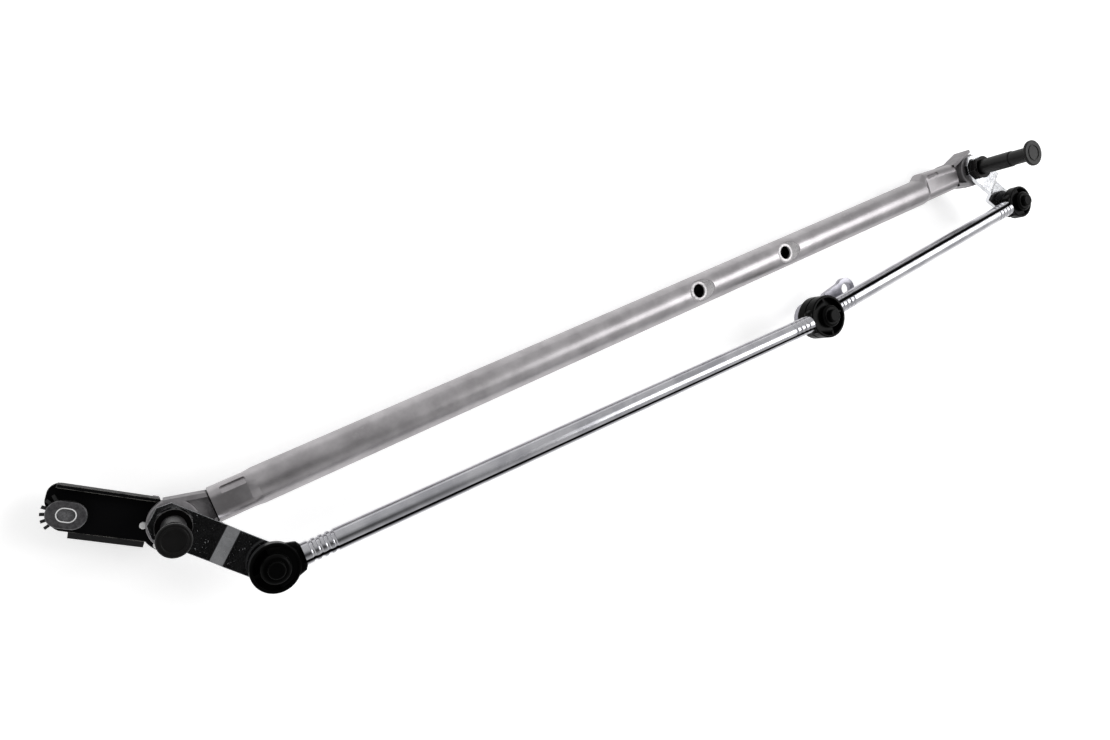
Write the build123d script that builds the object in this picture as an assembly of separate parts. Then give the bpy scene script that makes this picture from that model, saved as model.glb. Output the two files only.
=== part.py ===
from build123d import *
from math import atan2, cos, degrees, hypot, radians, sin
import os

# Layout, in millimetres. The origin is on the frame tube's axis, midway between its two motor bolts.
# +X runs along the tube to the right spindle, +Z along the spindles to their wiper arm ends.
LEFT_REACH = 412.0
RIGHT_REACH = 268.0
LEVER_LENGTH = 56.0
LEVER_ANGLE = -49.0
LONG_ROD_LEVEL = 21.0
ROD_PITCH = 8.0
CRANK_PIN_X = 47.1
CRANK_PIN_Y = -55.0
CRANK_RADIUS = 50.5
CRANK_ANGLE = 8.4

# Frame tube, its pressed ends and its two dimpled motor holes
TUBE_OD = 22.0
TUBE_WALL = 1.5
TUBE_GAP = 21.5
CRIMP_TAPER = 5.0
CRIMP_HEIGHT = 17.0
LEFT_CRIMP_LENGTH = 20.0
LEFT_CRIMP_WIDTH = 20.2
LEFT_CRIMP_CORNER = 6.0
LEFT_CRIMP_SHIFT = 0.0
LEFT_PUNCH_FROM_END = 13.2
RIGHT_CRIMP_LENGTH = 37.0
RIGHT_CRIMP_WIDTH = 24.8
RIGHT_CRIMP_CORNER = 7.5
RIGHT_CRIMP_SHIFT = 2.4
RIGHT_MOUTH_WIDTH = 21.8
RIGHT_MOUTH_SHIFT = 1.0
RIGHT_PUNCH_FROM_END = 28.0
PUNCH_LENGTH = 14.0
PUNCH_WIDTH = 4.4
PUNCH_DEPTH = 1.3
PUNCH_ANGLE = 42.0
MOTOR_BOLT_SPACING = 86.0
MOTOR_HOLE = 10.0
DIMPLE_SEAT = 13.2
DIMPLE_RIM = 22.0
DIMPLE_DEPTH = 4.4

# Pivot housings: diecast boss, ribbed web and the spigot inside the tube
BOSS_RADIUS = 13.4
BOSS_HEAD_BOTTOM = -2.5
BOSS_NECK_RADIUS = 11.8
BOSS_NECK_BOTTOM = -12.0
BOSS_FOOT_RADIUS = 10.8
BOSS_TOP = 7.6
BOSS_BOTTOM = -26.0
WEB_THICKNESS = 5.0
RIB_WIDTH = 2.6
RIB_HEIGHT = 15.0
LEFT_RIB_REACH = 14.0
LEFT_RIB_OVERRUN = 0.0
RIGHT_RIB_REACH = 17.4
RIGHT_RIB_OVERRUN = 3.5
SPIGOT_SHORTFALL = 1.0
SPIGOT_CLEARANCE = 0.1
CAST_EDGE = 0.8
BRACKET_FLANGE_RADIUS = 17.2
BRACKET_FLANGE_THICKNESS = 4.0

# Spindles, bearings, washers and the nuts that hold the levers
SPINDLE_DIAMETER = 10.0
BEARING_CLEARANCE = 0.05
BEARING_WALL = 2.0
BEARING_LENGTH = 9.0
THRUST_WASHER_RADIUS = 10.0
THRUST_WASHER_THICKNESS = 1.2
RUNNING_GAP = 0.2
CLIP_THICKNESS = 1.0
CLIP_RADIUS = 8.2
CLIP_GROOVE_DEPTH = 0.8
CLIP_OPENING = 7.0
SPINDLE_TAIL = 1.6
NECK_DIAMETER = 12.0
NUT_ACROSS_FLATS = 17.0
NUT_HEIGHT = 4.8
NUT_CHAMFER = 1.0
LOCK_WASHER_RADIUS = 9.3
LOCK_WASHER_THICKNESS = 1.2
CONE_BASE_DIAMETER = 10.4
CONE_TOP_DIAMETER = 9.2
CONE_LENGTH = 13.0
THREAD_DIAMETER = 8.0
THREAD_LENGTH = 27.0

# Protective caps pushed over the spindle ends
CAP_LENGTH = 45.0
CAP_WALL = 0.9
CAP_PLAY = 0.3
CAP_STEP_LENGTH = 26.0
LEFT_CAP_FLANGE_RADIUS = 8.3
RIGHT_CAP_FLANGE_RADIUS = 10.3
CAP_FLANGE_THICKNESS = 2.6
CAP_RING_RADIUS = 5.6
CAP_RING_WIDTH = 0.9
CAP_RING_HEIGHT = 0.5

# Levers and crank arm, pressed from plate with a joggle
LEVER_THICKNESS = 3.5
LEVER_WIDTH = 21.0
LEVER_HEEL = 11.8
LEVER_HEEL_CHAMFER = 5.4
LEVER_JOGGLE_START = 24.5
LEVER_JOGGLE_RUN = 7.5
LEFT_JOGGLE = 1.5
RIGHT_JOGGLE = -8.0
CRANK_THICKNESS = 4.0
CRANK_WIDTH = 15.0
CRANK_EYE_RADIUS = 12.5
CRANK_END_RADIUS = 8.8
CRANK_JOGGLE_START = 20.0
CRANK_JOGGLE_RUN = 8.0
CRANK_JOGGLE = -6.0
CRANK_BORE = 10.0
PLATE_BEND_RADIUS = 2.5

# Ball pins
BALL_RADIUS = 5.0
BALL_CLEARANCE = 0.1
PIN_NECK_RADIUS = 2.7
PIN_COLLAR_RADIUS = 5.4
PIN_COLLAR_HEIGHT = 1.3
PIN_SHANK_RADIUS = 3.5
PIN_HEAD_RADIUS = 5.2
PIN_HEAD_HEIGHT = 1.4
CRANK_PIN_DROP = 8.0

# Rods: rolled strip with an open seam, crimped onto the sockets' stems
ROD_OD = 13.0
ROD_WALL = 1.2
ROD_SEAM = 0.5
ROD_END_SETBACK = 16.0
MID_ROD_SETBACK = 17.4
ROD_SEAM_ANGLE = 37.0
SEAM_VALLEY_RADIUS = 1.7
SEAM_VALLEY_DEPTH = 1.3
CRIMP_RINGS = 4
CRIMP_RING_PITCH = 4.2
CRIMP_RING_OFFSET = 5.0
CRIMP_RING_RADIUS = 1.5
CRIMP_RING_DEPTH = 0.7

# Moulded ball sockets on the rod ends, and their rubber seals
END_SOCKET_RADIUS = 13.7
MID_SOCKET_RADIUS = 16.0
SOCKET_HALF_HEIGHT = 3.85
SOCKET_FLOOR = 2.2
SOCKET_RIM = 1.8
HUB_RADIUS = 8.4
HUB_TOP = 7.6
HUB_BUTTON_RADIUS = 4.8
HUB_BUTTON_HEIGHT = 3.0
SOCKET_RIBS = 4
SOCKET_RIB_WIDTH = 1.6
SHOULDER_LENGTH = 1.4
ROOT_WIDTH = 26.0
ROOT_TIP_WIDTH = 17.0
ROOT_HEIGHT = 6.6
STEM_LENGTH = 26.0
STEM_CLEARANCE = 0.1
SEAL_RADIUS = 10.2
SEAL_TOP_RADIUS = 12.4
SEAL_WALL = 2.2
SEAL_GAP = 0.3

# Support bracket beyond the left spindle, with its grommet, sleeve and rivets
BRACKET_ANGLE = 145.0
BRACKET_SHEET = 2.0
BRACKET_TOP = -6.0
BRACKET_COLLAR_RADIUS = 17.2
BRACKET_HOLE_CLEARANCE = 0.2
BRACKET_CUT_X = -1.5
BRACKET_INNER_EDGE = -11.5
BRACKET_OUTER_EDGE = 13.0
BRACKET_FLANGE_HEIGHT = 8.0
BRACKET_LIP_REACH = 4.0
BRACKET_LIP_DROP = 5.0
BRACKET_FLANGE_START = 10.0
BRACKET_FLANGE_END = 58.4
BRACKET_LIP_START = 11.5
BRACKET_END_RADIUS = 9.4
BRACKET_CORNER_REACH = 62.4
BRACKET_CORNER_RADIUS = 6.0
BUSH_ALONG = 50.6
BUSH_ACROSS = 3.8
SLOT_LENGTH = 8.6
SLOT_WIDTH = 6.4
SLEEVE_WALL = 1.0
SLEEVE_HEIGHT = 14.0
SLEEVE_FLANGE_LENGTH = 19.6
SLEEVE_FLANGE_WIDTH = 14.4
SLEEVE_FLANGE_THICKNESS = 1.6
GROMMET_WALL = 1.6
GROMMET_LIP = 1.3
GROMMET_FOOT = 1.6
GROMMET_HEIGHT = 11.0
GROMMET_RIBS = 6
GROMMET_RIB_SPREAD = 100.0
GROMMET_RIB_REACH = 4.2
GROMMET_RIB_WIDTH = 1.5
GROMMET_RIB_HEIGHT = 2.4
GROMMET_CLEARANCE = 0.1
RIVET_SHANK_RADIUS = 1.2
RIVET_HEAD_RADIUS = 2.0
RIVET_HEAD_HEIGHT = 1.2
RIVET_RING_RADIUS = 14.8
RIVET_ANGLES = (163.0, 215.0)

# Places and levels that follow from the sizes above
TUBE_RADIUS = TUBE_OD / 2
SHORT_ROD_LEVEL = LONG_ROD_LEVEL - ROD_PITCH
SHAFT_RADIUS = SPINDLE_DIAMETER / 2
BEARING_BORE_RADIUS = SHAFT_RADIUS + BEARING_CLEARANCE
BEARING_RADIUS = BEARING_BORE_RADIUS + BEARING_WALL
LEVER_BOTTOM = BOSS_TOP + THRUST_WASHER_THICKNESS + RUNNING_GAP
LEVER_TOP = LEVER_BOTTOM + LEVER_THICKNESS
NUT_TOP = LEVER_TOP + NUT_HEIGHT
CAP_BASE = NUT_TOP + LOCK_WASHER_THICKNESS
CLIP_TOP = BOSS_BOTTOM - THRUST_WASHER_THICKNESS - RUNNING_GAP
SPINDLE_FOOT = CLIP_TOP - CLIP_THICKNESS - SPINDLE_TAIL
LEVER_DX = LEVER_LENGTH * cos(radians(LEVER_ANGLE))
LEVER_DY = LEVER_LENGTH * sin(radians(LEVER_ANGLE))
LEFT_BALL = (-LEFT_REACH + LEVER_DX, LEVER_DY)
RIGHT_BALL = (RIGHT_REACH + LEVER_DX, LEVER_DY)
CRANK_PIN = (CRANK_PIN_X, CRANK_PIN_Y)
CRANK_TOP = SHORT_ROD_LEVEL - CRANK_PIN_DROP
CRIMP_LENGTH = {"left": LEFT_CRIMP_LENGTH, "right": RIGHT_CRIMP_LENGTH}
CRIMP_WIDTH = {"left": LEFT_CRIMP_WIDTH, "right": RIGHT_CRIMP_WIDTH}
CRIMP_CORNER = {"left": LEFT_CRIMP_CORNER, "right": RIGHT_CRIMP_CORNER}
CRIMP_SHIFT = {"left": LEFT_CRIMP_SHIFT, "right": RIGHT_CRIMP_SHIFT}
MOUTH_WIDTH = {"left": LEFT_CRIMP_WIDTH, "right": RIGHT_MOUTH_WIDTH}
MOUTH_SHIFT = {"left": LEFT_CRIMP_SHIFT, "right": RIGHT_MOUTH_SHIFT}
PUNCH_FROM_END = {"left": LEFT_PUNCH_FROM_END, "right": RIGHT_PUNCH_FROM_END}
SPIGOT_LENGTH = {side: CRIMP_LENGTH[side] - SPIGOT_SHORTFALL for side in CRIMP_LENGTH}
CAP_FLANGE_RADIUS = {"left": LEFT_CAP_FLANGE_RADIUS, "right": RIGHT_CAP_FLANGE_RADIUS}
RIB_REACH = {"left": LEFT_RIB_REACH, "right": RIGHT_RIB_REACH}
RIB_OVERRUN = {"left": LEFT_RIB_OVERRUN, "right": RIGHT_RIB_OVERRUN}
SPINDLE_X = {"left": -LEFT_REACH, "right": RIGHT_REACH}
TOWARDS_TUBE = {"left": 1, "right": -1}
JOGGLE = {"left": LEFT_JOGGLE, "right": RIGHT_JOGGLE}


def rod_line(start, end):
    """Length and heading, in degrees, of the line from one pin to another."""
    dx, dy = end[0] - start[0], end[1] - start[1]
    return hypot(dx, dy), degrees(atan2(dy, dx))


def round_bar(radius, bottom, top):
    """Upright cylinder between two levels."""
    return Pos(0, 0, (bottom + top) / 2) * Cylinder(radius, top - bottom)


def cone_bar(bottom_radius, top_radius, bottom, top):
    """Upright cone frustum between two levels."""
    return Pos(0, 0, (bottom + top) / 2) * Cone(bottom_radius, top_radius, top - bottom)


def ring(outer_radius, inner_radius, bottom, top):
    """Upright tube between two levels."""
    return round_bar(outer_radius, bottom, top) - round_bar(inner_radius, bottom, top)


def slab(outline, bottom, top):
    """Flat outline raised from one level to another."""
    return Pos(0, 0, bottom) * extrude(outline, top - bottom)


def obround(length, width, bottom, top):
    """Upright bar of a round-ended section, long along X."""
    return slab(SlotOverall(length, width), bottom, top)


def across_tube(x):
    """Plane across the tube at x, its first axis along +Y and its second along +Z."""
    return Plane(origin=(x, 0, 0), x_dir=(0, 1, 0), z_dir=(1, 0, 0))


def crimp_section(side, width, shift, inset):
    """Section of a pressed tube end, shrunk by a wall or a clearance."""
    rounded = RectangleRounded(width - 2 * inset, CRIMP_HEIGHT - 2 * inset, CRIMP_CORNER[side] - inset)
    return Pos(shift, 0, 0) * rounded


def pressed_end(side, inset, length):
    """Bar of the pressed form, from the tube's mouth inwards."""
    start = SPINDLE_X[side] + TOWARDS_TUBE[side] * TUBE_GAP
    end = start + TOWARDS_TUBE[side] * CRIMP_LENGTH[side]
    mouth = crimp_section(side, MOUTH_WIDTH[side], MOUTH_SHIFT[side], inset)
    root = crimp_section(side, CRIMP_WIDTH[side], CRIMP_SHIFT[side], inset)
    bar = loft([across_tube(start) * mouth, across_tube(end) * root])
    middle = start + TOWARDS_TUBE[side] * length / 2
    return bar & Pos(middle, 0, 0) * Box(length, 2 * TUBE_OD, 2 * TUBE_OD)


def punches(side, growth):
    """The two oblong punch marks that lock a tube end to its spigot, grown by a wall."""
    x = SPINDLE_X[side] + TOWARDS_TUBE[side] * (TUBE_GAP + PUNCH_FROM_END[side])
    corner = CRIMP_CORNER[side]
    width = (MOUTH_WIDTH[side] + CRIMP_WIDTH[side]) / 2
    reach = hypot(width / 2 - corner, CRIMP_HEIGHT / 2 - corner) + corner
    floor = reach - PUNCH_DEPTH - growth
    tool = Box(PUNCH_LENGTH + 2 * growth, PUNCH_WIDTH + 2 * growth, TUBE_OD)
    tool = fillet(tool.edges().filter_by(Axis.Z), PUNCH_WIDTH / 4)
    centre = Pos(x, (MOUTH_SHIFT[side] + CRIMP_SHIFT[side]) / 2, 0)
    tool = Pos(0, 0, floor + TUBE_OD / 2) * tool
    return [centre * Rot(turn - PUNCH_ANGLE, 0, 0) * tool for turn in (0, 180)]


def dimple(growth):
    """Round dimple under one motor bolt at the tube's crown, grown by a wall."""
    floor = TUBE_RADIUS - DIMPLE_DEPTH - growth
    slope = (DIMPLE_RIM - DIMPLE_SEAT) / 2 / DIMPLE_DEPTH
    seat = DIMPLE_SEAT / 2 + growth * (hypot(1, slope) - slope)
    height = DIMPLE_DEPTH + growth + 1
    return cone_bar(seat, seat + slope * height, floor, floor + height)


def tube_bar(inset):
    """Outer form of the frame tube, or its bore when inset by the wall."""
    left = SPINDLE_X["left"] + TUBE_GAP + CRIMP_LENGTH["left"]
    right = SPINDLE_X["right"] - TUBE_GAP - CRIMP_LENGTH["right"]
    circle = Circle(TUBE_RADIUS - inset)
    bar = extrude(across_tube(left + CRIMP_TAPER) * circle, right - left - 2 * CRIMP_TAPER)
    for side, crimp_x in (("left", left), ("right", right)):
        round_x = crimp_x + TOWARDS_TUBE[side] * CRIMP_TAPER
        root = crimp_section(side, CRIMP_WIDTH[side], CRIMP_SHIFT[side], inset)
        bar += loft([across_tube(crimp_x) * root, across_tube(round_x) * circle])
        bar += pressed_end(side, inset, CRIMP_LENGTH[side])
    return bar


def frame_tube():
    """Welded steel tube, pressed onto the housings, with a dimpled hole for each motor bolt."""
    outer = tube_bar(0)
    bore = tube_bar(TUBE_WALL)
    for side in ("left", "right"):
        for outside, inside in zip(punches(side, 0), punches(side, TUBE_WALL)):
            outer -= outside
            bore -= inside
    for x in (-MOTOR_BOLT_SPACING / 2, MOTOR_BOLT_SPACING / 2):
        outer -= Pos(x, 0, 0) * dimple(0)
        bore -= Pos(x, 0, 0) * dimple(TUBE_WALL)
        outer -= Pos(x, 0, 0) * round_bar(MOTOR_HOLE / 2, -TUBE_OD, TUBE_OD)
    return outer - bore


def housing(side):
    """Diecast pivot housing: spindle boss, ribbed web and spigot."""
    out = TOWARDS_TUBE[side]
    x = SPINDLE_X[side]
    half_width = MOUTH_WIDTH[side] / 2 - TUBE_WALL - SPIGOT_CLEARANCE
    high, low = MOUTH_SHIFT[side] + half_width, MOUTH_SHIFT[side] - half_width
    reach = RIB_REACH[side]
    start, end = -out * RIB_OVERRUN[side], out * TUBE_GAP
    web_outline = Polyline((start, reach), (end, high), (end, low), (0, -BOSS_RADIUS), close=True)
    body = Pos(x, 0, 0) * slab(make_face(web_outline), -WEB_THICKNESS / 2, WEB_THICKNESS / 2)
    ribs = ((start, reach, high, -RIB_WIDTH), (0, -BOSS_RADIUS, low, RIB_WIDTH))
    for rib_start, near, far, inwards in ribs:
        corners = ((rib_start, near), (end, far), (end, far + inwards), (rib_start, near + inwards))
        outline = make_face(Polyline(*corners, close=True))
        body += Pos(x, 0, 0) * slab(outline, -RIB_HEIGHT / 2, RIB_HEIGHT / 2)
    spigot = pressed_end(side, TUBE_WALL + SPIGOT_CLEARANCE, SPIGOT_LENGTH[side])
    for tool in punches(side, TUBE_WALL + SPIGOT_CLEARANCE):
        spigot -= tool
    body += spigot
    body += Pos(x, 0, 0) * boss()
    if side == "left":
        body += Pos(x, 0, 0) * bracket_flange()
    body -= Pos(x, 0, 0) * round_bar(BEARING_RADIUS, BOSS_BOTTOM, BOSS_TOP)
    return body


def boss():
    """Spindle boss: wide head, narrower neck and a foot with draft."""
    head = round_bar(BOSS_RADIUS, BOSS_HEAD_BOTTOM, BOSS_TOP)
    neck = round_bar(BOSS_NECK_RADIUS, BOSS_NECK_BOTTOM, BOSS_HEAD_BOTTOM)
    foot = cone_bar(BOSS_FOOT_RADIUS, BOSS_NECK_RADIUS, BOSS_BOTTOM, BOSS_NECK_BOTTOM)
    solid = head + neck + foot
    rims = solid.edges().filter_by(GeomType.CIRCLE).sort_by(Axis.Z)
    return fillet([rims[0], rims[-1]], CAST_EDGE)


def bracket_flange():
    """Half flange on the left boss that the support bracket is riveted to."""
    top = BRACKET_TOP - BRACKET_SHEET
    bottom = top - BRACKET_FLANGE_THICKNESS
    disc = round_bar(BRACKET_FLANGE_RADIUS, bottom, top)
    depth = 2 * BRACKET_FLANGE_RADIUS
    keep = Pos(BRACKET_CUT_X - BRACKET_FLANGE_RADIUS, 0, (bottom + top) / 2) * Box(depth, depth, depth)
    inner = slab(inner_limit(), bottom, top)
    flange = disc & keep & Rot(0, 0, BRACKET_ANGLE) * inner
    for place in rivet_places():
        flange -= place * round_bar(RIVET_SHANK_RADIUS, bottom, top)
    return flange


def rivet_places():
    """Rivet centres round the left spindle's axis."""
    return [Rot(0, 0, angle) * Pos(RIVET_RING_RADIUS, 0, 0) for angle in RIVET_ANGLES]


def bearing(side, bottom):
    """Sintered bush in the housing, under a spindle's running clearance."""
    body = ring(BEARING_RADIUS, BEARING_BORE_RADIUS, bottom, bottom + BEARING_LENGTH)
    return Pos(SPINDLE_X[side], 0, 0) * body


def thrust_washer(side, bottom):
    """Flat washer between the boss and a spindle's shoulder or circlip."""
    top = bottom + THRUST_WASHER_THICKNESS
    return Pos(SPINDLE_X[side], 0, 0) * ring(THRUST_WASHER_RADIUS, SHAFT_RADIUS + RUNNING_GAP, bottom, top)


def lock_washer(side):
    """Flat ring on top of the lever's nut."""
    body = ring(LOCK_WASHER_RADIUS, NECK_DIAMETER / 2, NUT_TOP, NUT_TOP + LOCK_WASHER_THICKNESS)
    return Pos(SPINDLE_X[side], 0, 0) * body


def spindle(side):
    """Turned spindle: shaft, threaded neck, arm cone and arm thread."""
    cone_top = CAP_BASE + CONE_LENGTH
    thread_top = cone_top + THREAD_LENGTH
    body = round_bar(SHAFT_RADIUS, SPINDLE_FOOT, LEVER_BOTTOM)
    body += round_bar(NECK_DIAMETER / 2, LEVER_BOTTOM, CAP_BASE)
    body += cone_bar(CONE_BASE_DIAMETER / 2, CONE_TOP_DIAMETER / 2, CAP_BASE, cone_top)
    body += round_bar(THREAD_DIAMETER / 2, cone_top, thread_top)
    body = chamfer(body.edges().filter_by(GeomType.CIRCLE).sort_by(Axis.Z)[-1], THREAD_DIAMETER / 10)
    groove = ring(SPINDLE_DIAMETER, SHAFT_RADIUS - CLIP_GROOVE_DEPTH, CLIP_TOP - CLIP_THICKNESS, CLIP_TOP)
    return Pos(SPINDLE_X[side], 0, 0) * (body - groove)


def circlip(side):
    """Open clip in the groove at a spindle's foot."""
    clip = ring(CLIP_RADIUS, SHAFT_RADIUS - CLIP_GROOVE_DEPTH, CLIP_TOP - CLIP_THICKNESS, CLIP_TOP)
    mouth = Pos(0, -CLIP_RADIUS, CLIP_TOP) * Box(CLIP_OPENING, 2 * CLIP_RADIUS, 4 * CLIP_THICKNESS)
    return Pos(SPINDLE_X[side], 0, 0) * (clip - mouth)


def lever_nut(side):
    """Flat hexagon nut that clamps a lever on its spindle's neck."""
    prism = slab(RegularPolygon(NUT_ACROSS_FLATS / 2, 6, major_radius=False), LEVER_TOP, NUT_TOP)
    corner = NUT_ACROSS_FLATS / 2 / cos(radians(30))
    crown = cone_bar(corner + NUT_HEIGHT - NUT_CHAMFER, corner - NUT_CHAMFER, LEVER_TOP, NUT_TOP)
    nut = (prism & crown) - round_bar(NECK_DIAMETER / 2, LEVER_TOP, NUT_TOP)
    return Pos(SPINDLE_X[side], 0, 0) * nut


def cap(side):
    """Thin moulded cap with a step, an end flange and a raised ring."""
    wide = CONE_BASE_DIAMETER / 2 + CAP_PLAY
    narrow = CONE_TOP_DIAMETER / 2 + CAP_PLAY
    step = CAP_BASE + CAP_STEP_LENGTH
    top = CAP_BASE + CAP_LENGTH
    floor = top - CAP_FLANGE_THICKNESS
    body = round_bar(wide + CAP_WALL, CAP_BASE, step) + round_bar(narrow + CAP_WALL, step, floor)
    flange = round_bar(CAP_FLANGE_RADIUS[side], floor, top)
    body += fillet(flange.edges().filter_by(GeomType.CIRCLE), CAP_WALL)
    body += ring(CAP_RING_RADIUS + CAP_RING_WIDTH, CAP_RING_RADIUS, top - CAP_WALL, top + CAP_RING_HEIGHT)
    body -= round_bar(wide, CAP_BASE, step - CAP_WALL)
    body -= round_bar(narrow, CAP_BASE, floor)
    return Pos(SPINDLE_X[side], 0, 0) * body


def joggled_plate(bottom, thickness, start, run, rise, width, reach):
    """Plate running along X, with one joggle, as wide as given and centred on X."""
    begin = -reach
    end = 2 * reach + start + run
    bends = ((start, bottom), (start + run, bottom + rise))
    top_bends = tuple((x, z + thickness) for x, z in bends)
    loop = Polyline(
        (begin, bottom), bends[0], bends[1], (end, bottom + rise),
        (end, bottom + rise + thickness), top_bends[1], top_bends[0], (begin, bottom + thickness), close=True)
    profile = Plane.XZ * make_face(loop)
    plate = Pos(0, width / 2, 0) * extrude(profile, width)
    across = plate.edges().filter_by(Axis.Y)
    inner = [edge for edge in across if start - 1 < edge.center().X < start + run + 1]
    return fillet(inner, PLATE_BEND_RADIUS)


def lever(side):
    """Spindle lever: parallel plate with a chamfered heel, a joggle and a round ball end."""
    strip = Pos((LEVER_LENGTH - LEVER_HEEL) / 2, 0, 0) * Rectangle(LEVER_LENGTH + LEVER_HEEL, LEVER_WIDTH)
    outline = chamfer(strip.vertices().group_by(Axis.X)[0], LEVER_HEEL_CHAMFER)
    outline += Pos(LEVER_LENGTH, 0, 0) * Circle(LEVER_WIDTH / 2)
    plate = joggled_plate(LEVER_BOTTOM, LEVER_THICKNESS, LEVER_JOGGLE_START, LEVER_JOGGLE_RUN,
                          JOGGLE[side], 2 * LEVER_WIDTH, LEVER_WIDTH)
    body = plate & slab(outline, BOSS_BOTTOM, CAP_BASE)
    body -= round_bar(NECK_DIAMETER / 2, BOSS_BOTTOM, CAP_BASE)
    body -= Pos(LEVER_LENGTH, 0, 0) * round_bar(PIN_SHANK_RADIUS, BOSS_BOTTOM, CAP_BASE)
    return Pos(SPINDLE_X[side], 0, 0) * Rot(0, 0, LEVER_ANGLE) * body


def crank_arm():
    """Motor crank: joggled plate with the ball pin at its eye and the shaft bore at its end."""
    bottom = CRANK_TOP - CRANK_THICKNESS
    outline = Circle(CRANK_EYE_RADIUS) + Pos(CRANK_RADIUS, 0, 0) * Circle(CRANK_END_RADIUS)
    outline += Pos(CRANK_RADIUS / 2, 0, 0) * Rectangle(CRANK_RADIUS, CRANK_WIDTH)
    plate = joggled_plate(bottom, CRANK_THICKNESS, CRANK_JOGGLE_START, CRANK_JOGGLE_RUN,
                          CRANK_JOGGLE, 4 * CRANK_EYE_RADIUS, 2 * CRANK_EYE_RADIUS)
    low = bottom - 2 * CRANK_END_RADIUS
    body = plate & slab(outline, low, CRANK_TOP)
    body -= round_bar(PIN_SHANK_RADIUS, low, CRANK_TOP)
    body -= Pos(CRANK_RADIUS, 0, 0) * round_bar(CRANK_BORE / 2, low, CRANK_TOP)
    return Pos(CRANK_PIN_X, CRANK_PIN_Y, 0) * Rot(0, 0, CRANK_ANGLE) * body


def ball_pin(plate_top, plate_thickness, levels):
    """Pin riveted through a plate, with a ball at each level above it."""
    plate_bottom = plate_top - plate_thickness
    body = round_bar(PIN_HEAD_RADIUS, plate_bottom - PIN_HEAD_HEIGHT, plate_bottom)
    body = fillet(body.edges().filter_by(GeomType.CIRCLE).sort_by(Axis.Z)[0], PIN_HEAD_HEIGHT * 0.7)
    body += round_bar(PIN_SHANK_RADIUS, plate_bottom, plate_top)
    body += round_bar(PIN_COLLAR_RADIUS, plate_top, plate_top + PIN_COLLAR_HEIGHT)
    body += round_bar(PIN_NECK_RADIUS, plate_top, levels[-1])
    for level in levels:
        body += Pos(0, 0, level) * Sphere(BALL_RADIUS)
    return body


def lever_ball_pin(side, level, place):
    """Ball pin at a spindle lever's end."""
    plate_top = LEVER_TOP + JOGGLE[side]
    return Pos(place[0], place[1], 0) * ball_pin(plate_top, LEVER_THICKNESS, [level])


def crimped_bar(radius, length, depth_growth):
    """Round bar along X with the crimp rings of both ends pressed in."""
    profile = Pos(length / 2, radius / 2) * Rectangle(length, radius)
    dip = Circle(CRIMP_RING_RADIUS + depth_growth)
    centre = ROD_OD / 2 + CRIMP_RING_RADIUS - CRIMP_RING_DEPTH
    for index in range(CRIMP_RINGS):
        offset = CRIMP_RING_OFFSET + index * CRIMP_RING_PITCH
        profile -= [Pos(offset, centre) * dip, Pos(length - offset, centre) * dip]
    return revolve(profile, Axis.X)


def seam_valley(length, angle, growth):
    """Bar along X that leaves a rod's rolled-in seam edges as a valley, grown by a wall."""
    centre = ROD_OD / 2 - SEAM_VALLEY_DEPTH + SEAM_VALLEY_RADIUS
    bar = Rot(0, 90, 0) * Cylinder(SEAM_VALLEY_RADIUS + growth, length)
    return Rot(angle, 0, 0) * Pos(length / 2, 0, centre) * bar


def rod_tube(ball, pin, level):
    """Rod rolled from strip between a lever's ball and the crank's pin, crimped, its edges rolled in."""
    span, heading = rod_line(ball, pin)
    length = span - ROD_END_SETBACK - MID_ROD_SETBACK
    outside = crimped_bar(ROD_OD / 2, length, 0) - seam_valley(length, ROD_SEAM_ANGLE, 0)
    inside = crimped_bar(ROD_OD / 2 - ROD_WALL, length, ROD_WALL)
    inside -= seam_valley(length, ROD_SEAM_ANGLE, ROD_WALL)
    gap = Pos(length / 2, 0, ROD_OD / 2) * Box(length, ROD_SEAM, ROD_OD)
    tube = outside - inside - Rot(ROD_SEAM_ANGLE, 0, 0) * gap
    return Pos(ball[0], ball[1], level) * Rot(0, 0, heading) * Pos(ROD_END_SETBACK, 0, 0) * tube


def socket_stem(setback, seam_angle):
    """Stem inside the rod's end, shaped by its crimp rings and seam, and the shoulder that meets the rod."""
    inset = ROD_WALL + STEM_CLEARANCE
    bar = crimped_bar(ROD_OD / 2 - inset, 2 * STEM_LENGTH, inset)
    bar -= seam_valley(2 * STEM_LENGTH, seam_angle, inset)
    bar &= Pos(STEM_LENGTH / 2, 0, 0) * Box(STEM_LENGTH, ROD_OD, ROD_OD)
    neck = Pos(setback, 0, 0) * bar
    shoulder_start = setback - SHOULDER_LENGTH
    tip = across_tube(shoulder_start) * RectangleRounded(ROOT_TIP_WIDTH, ROOT_HEIGHT, ROOT_HEIGHT / 3)
    root = loft([across_tube(0) * RectangleRounded(ROOT_WIDTH, ROOT_HEIGHT, ROOT_HEIGHT / 3), tip])
    shoulder = loft([tip, across_tube(setback) * Circle(ROD_OD / 2)])
    return neck + shoulder + root


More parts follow.
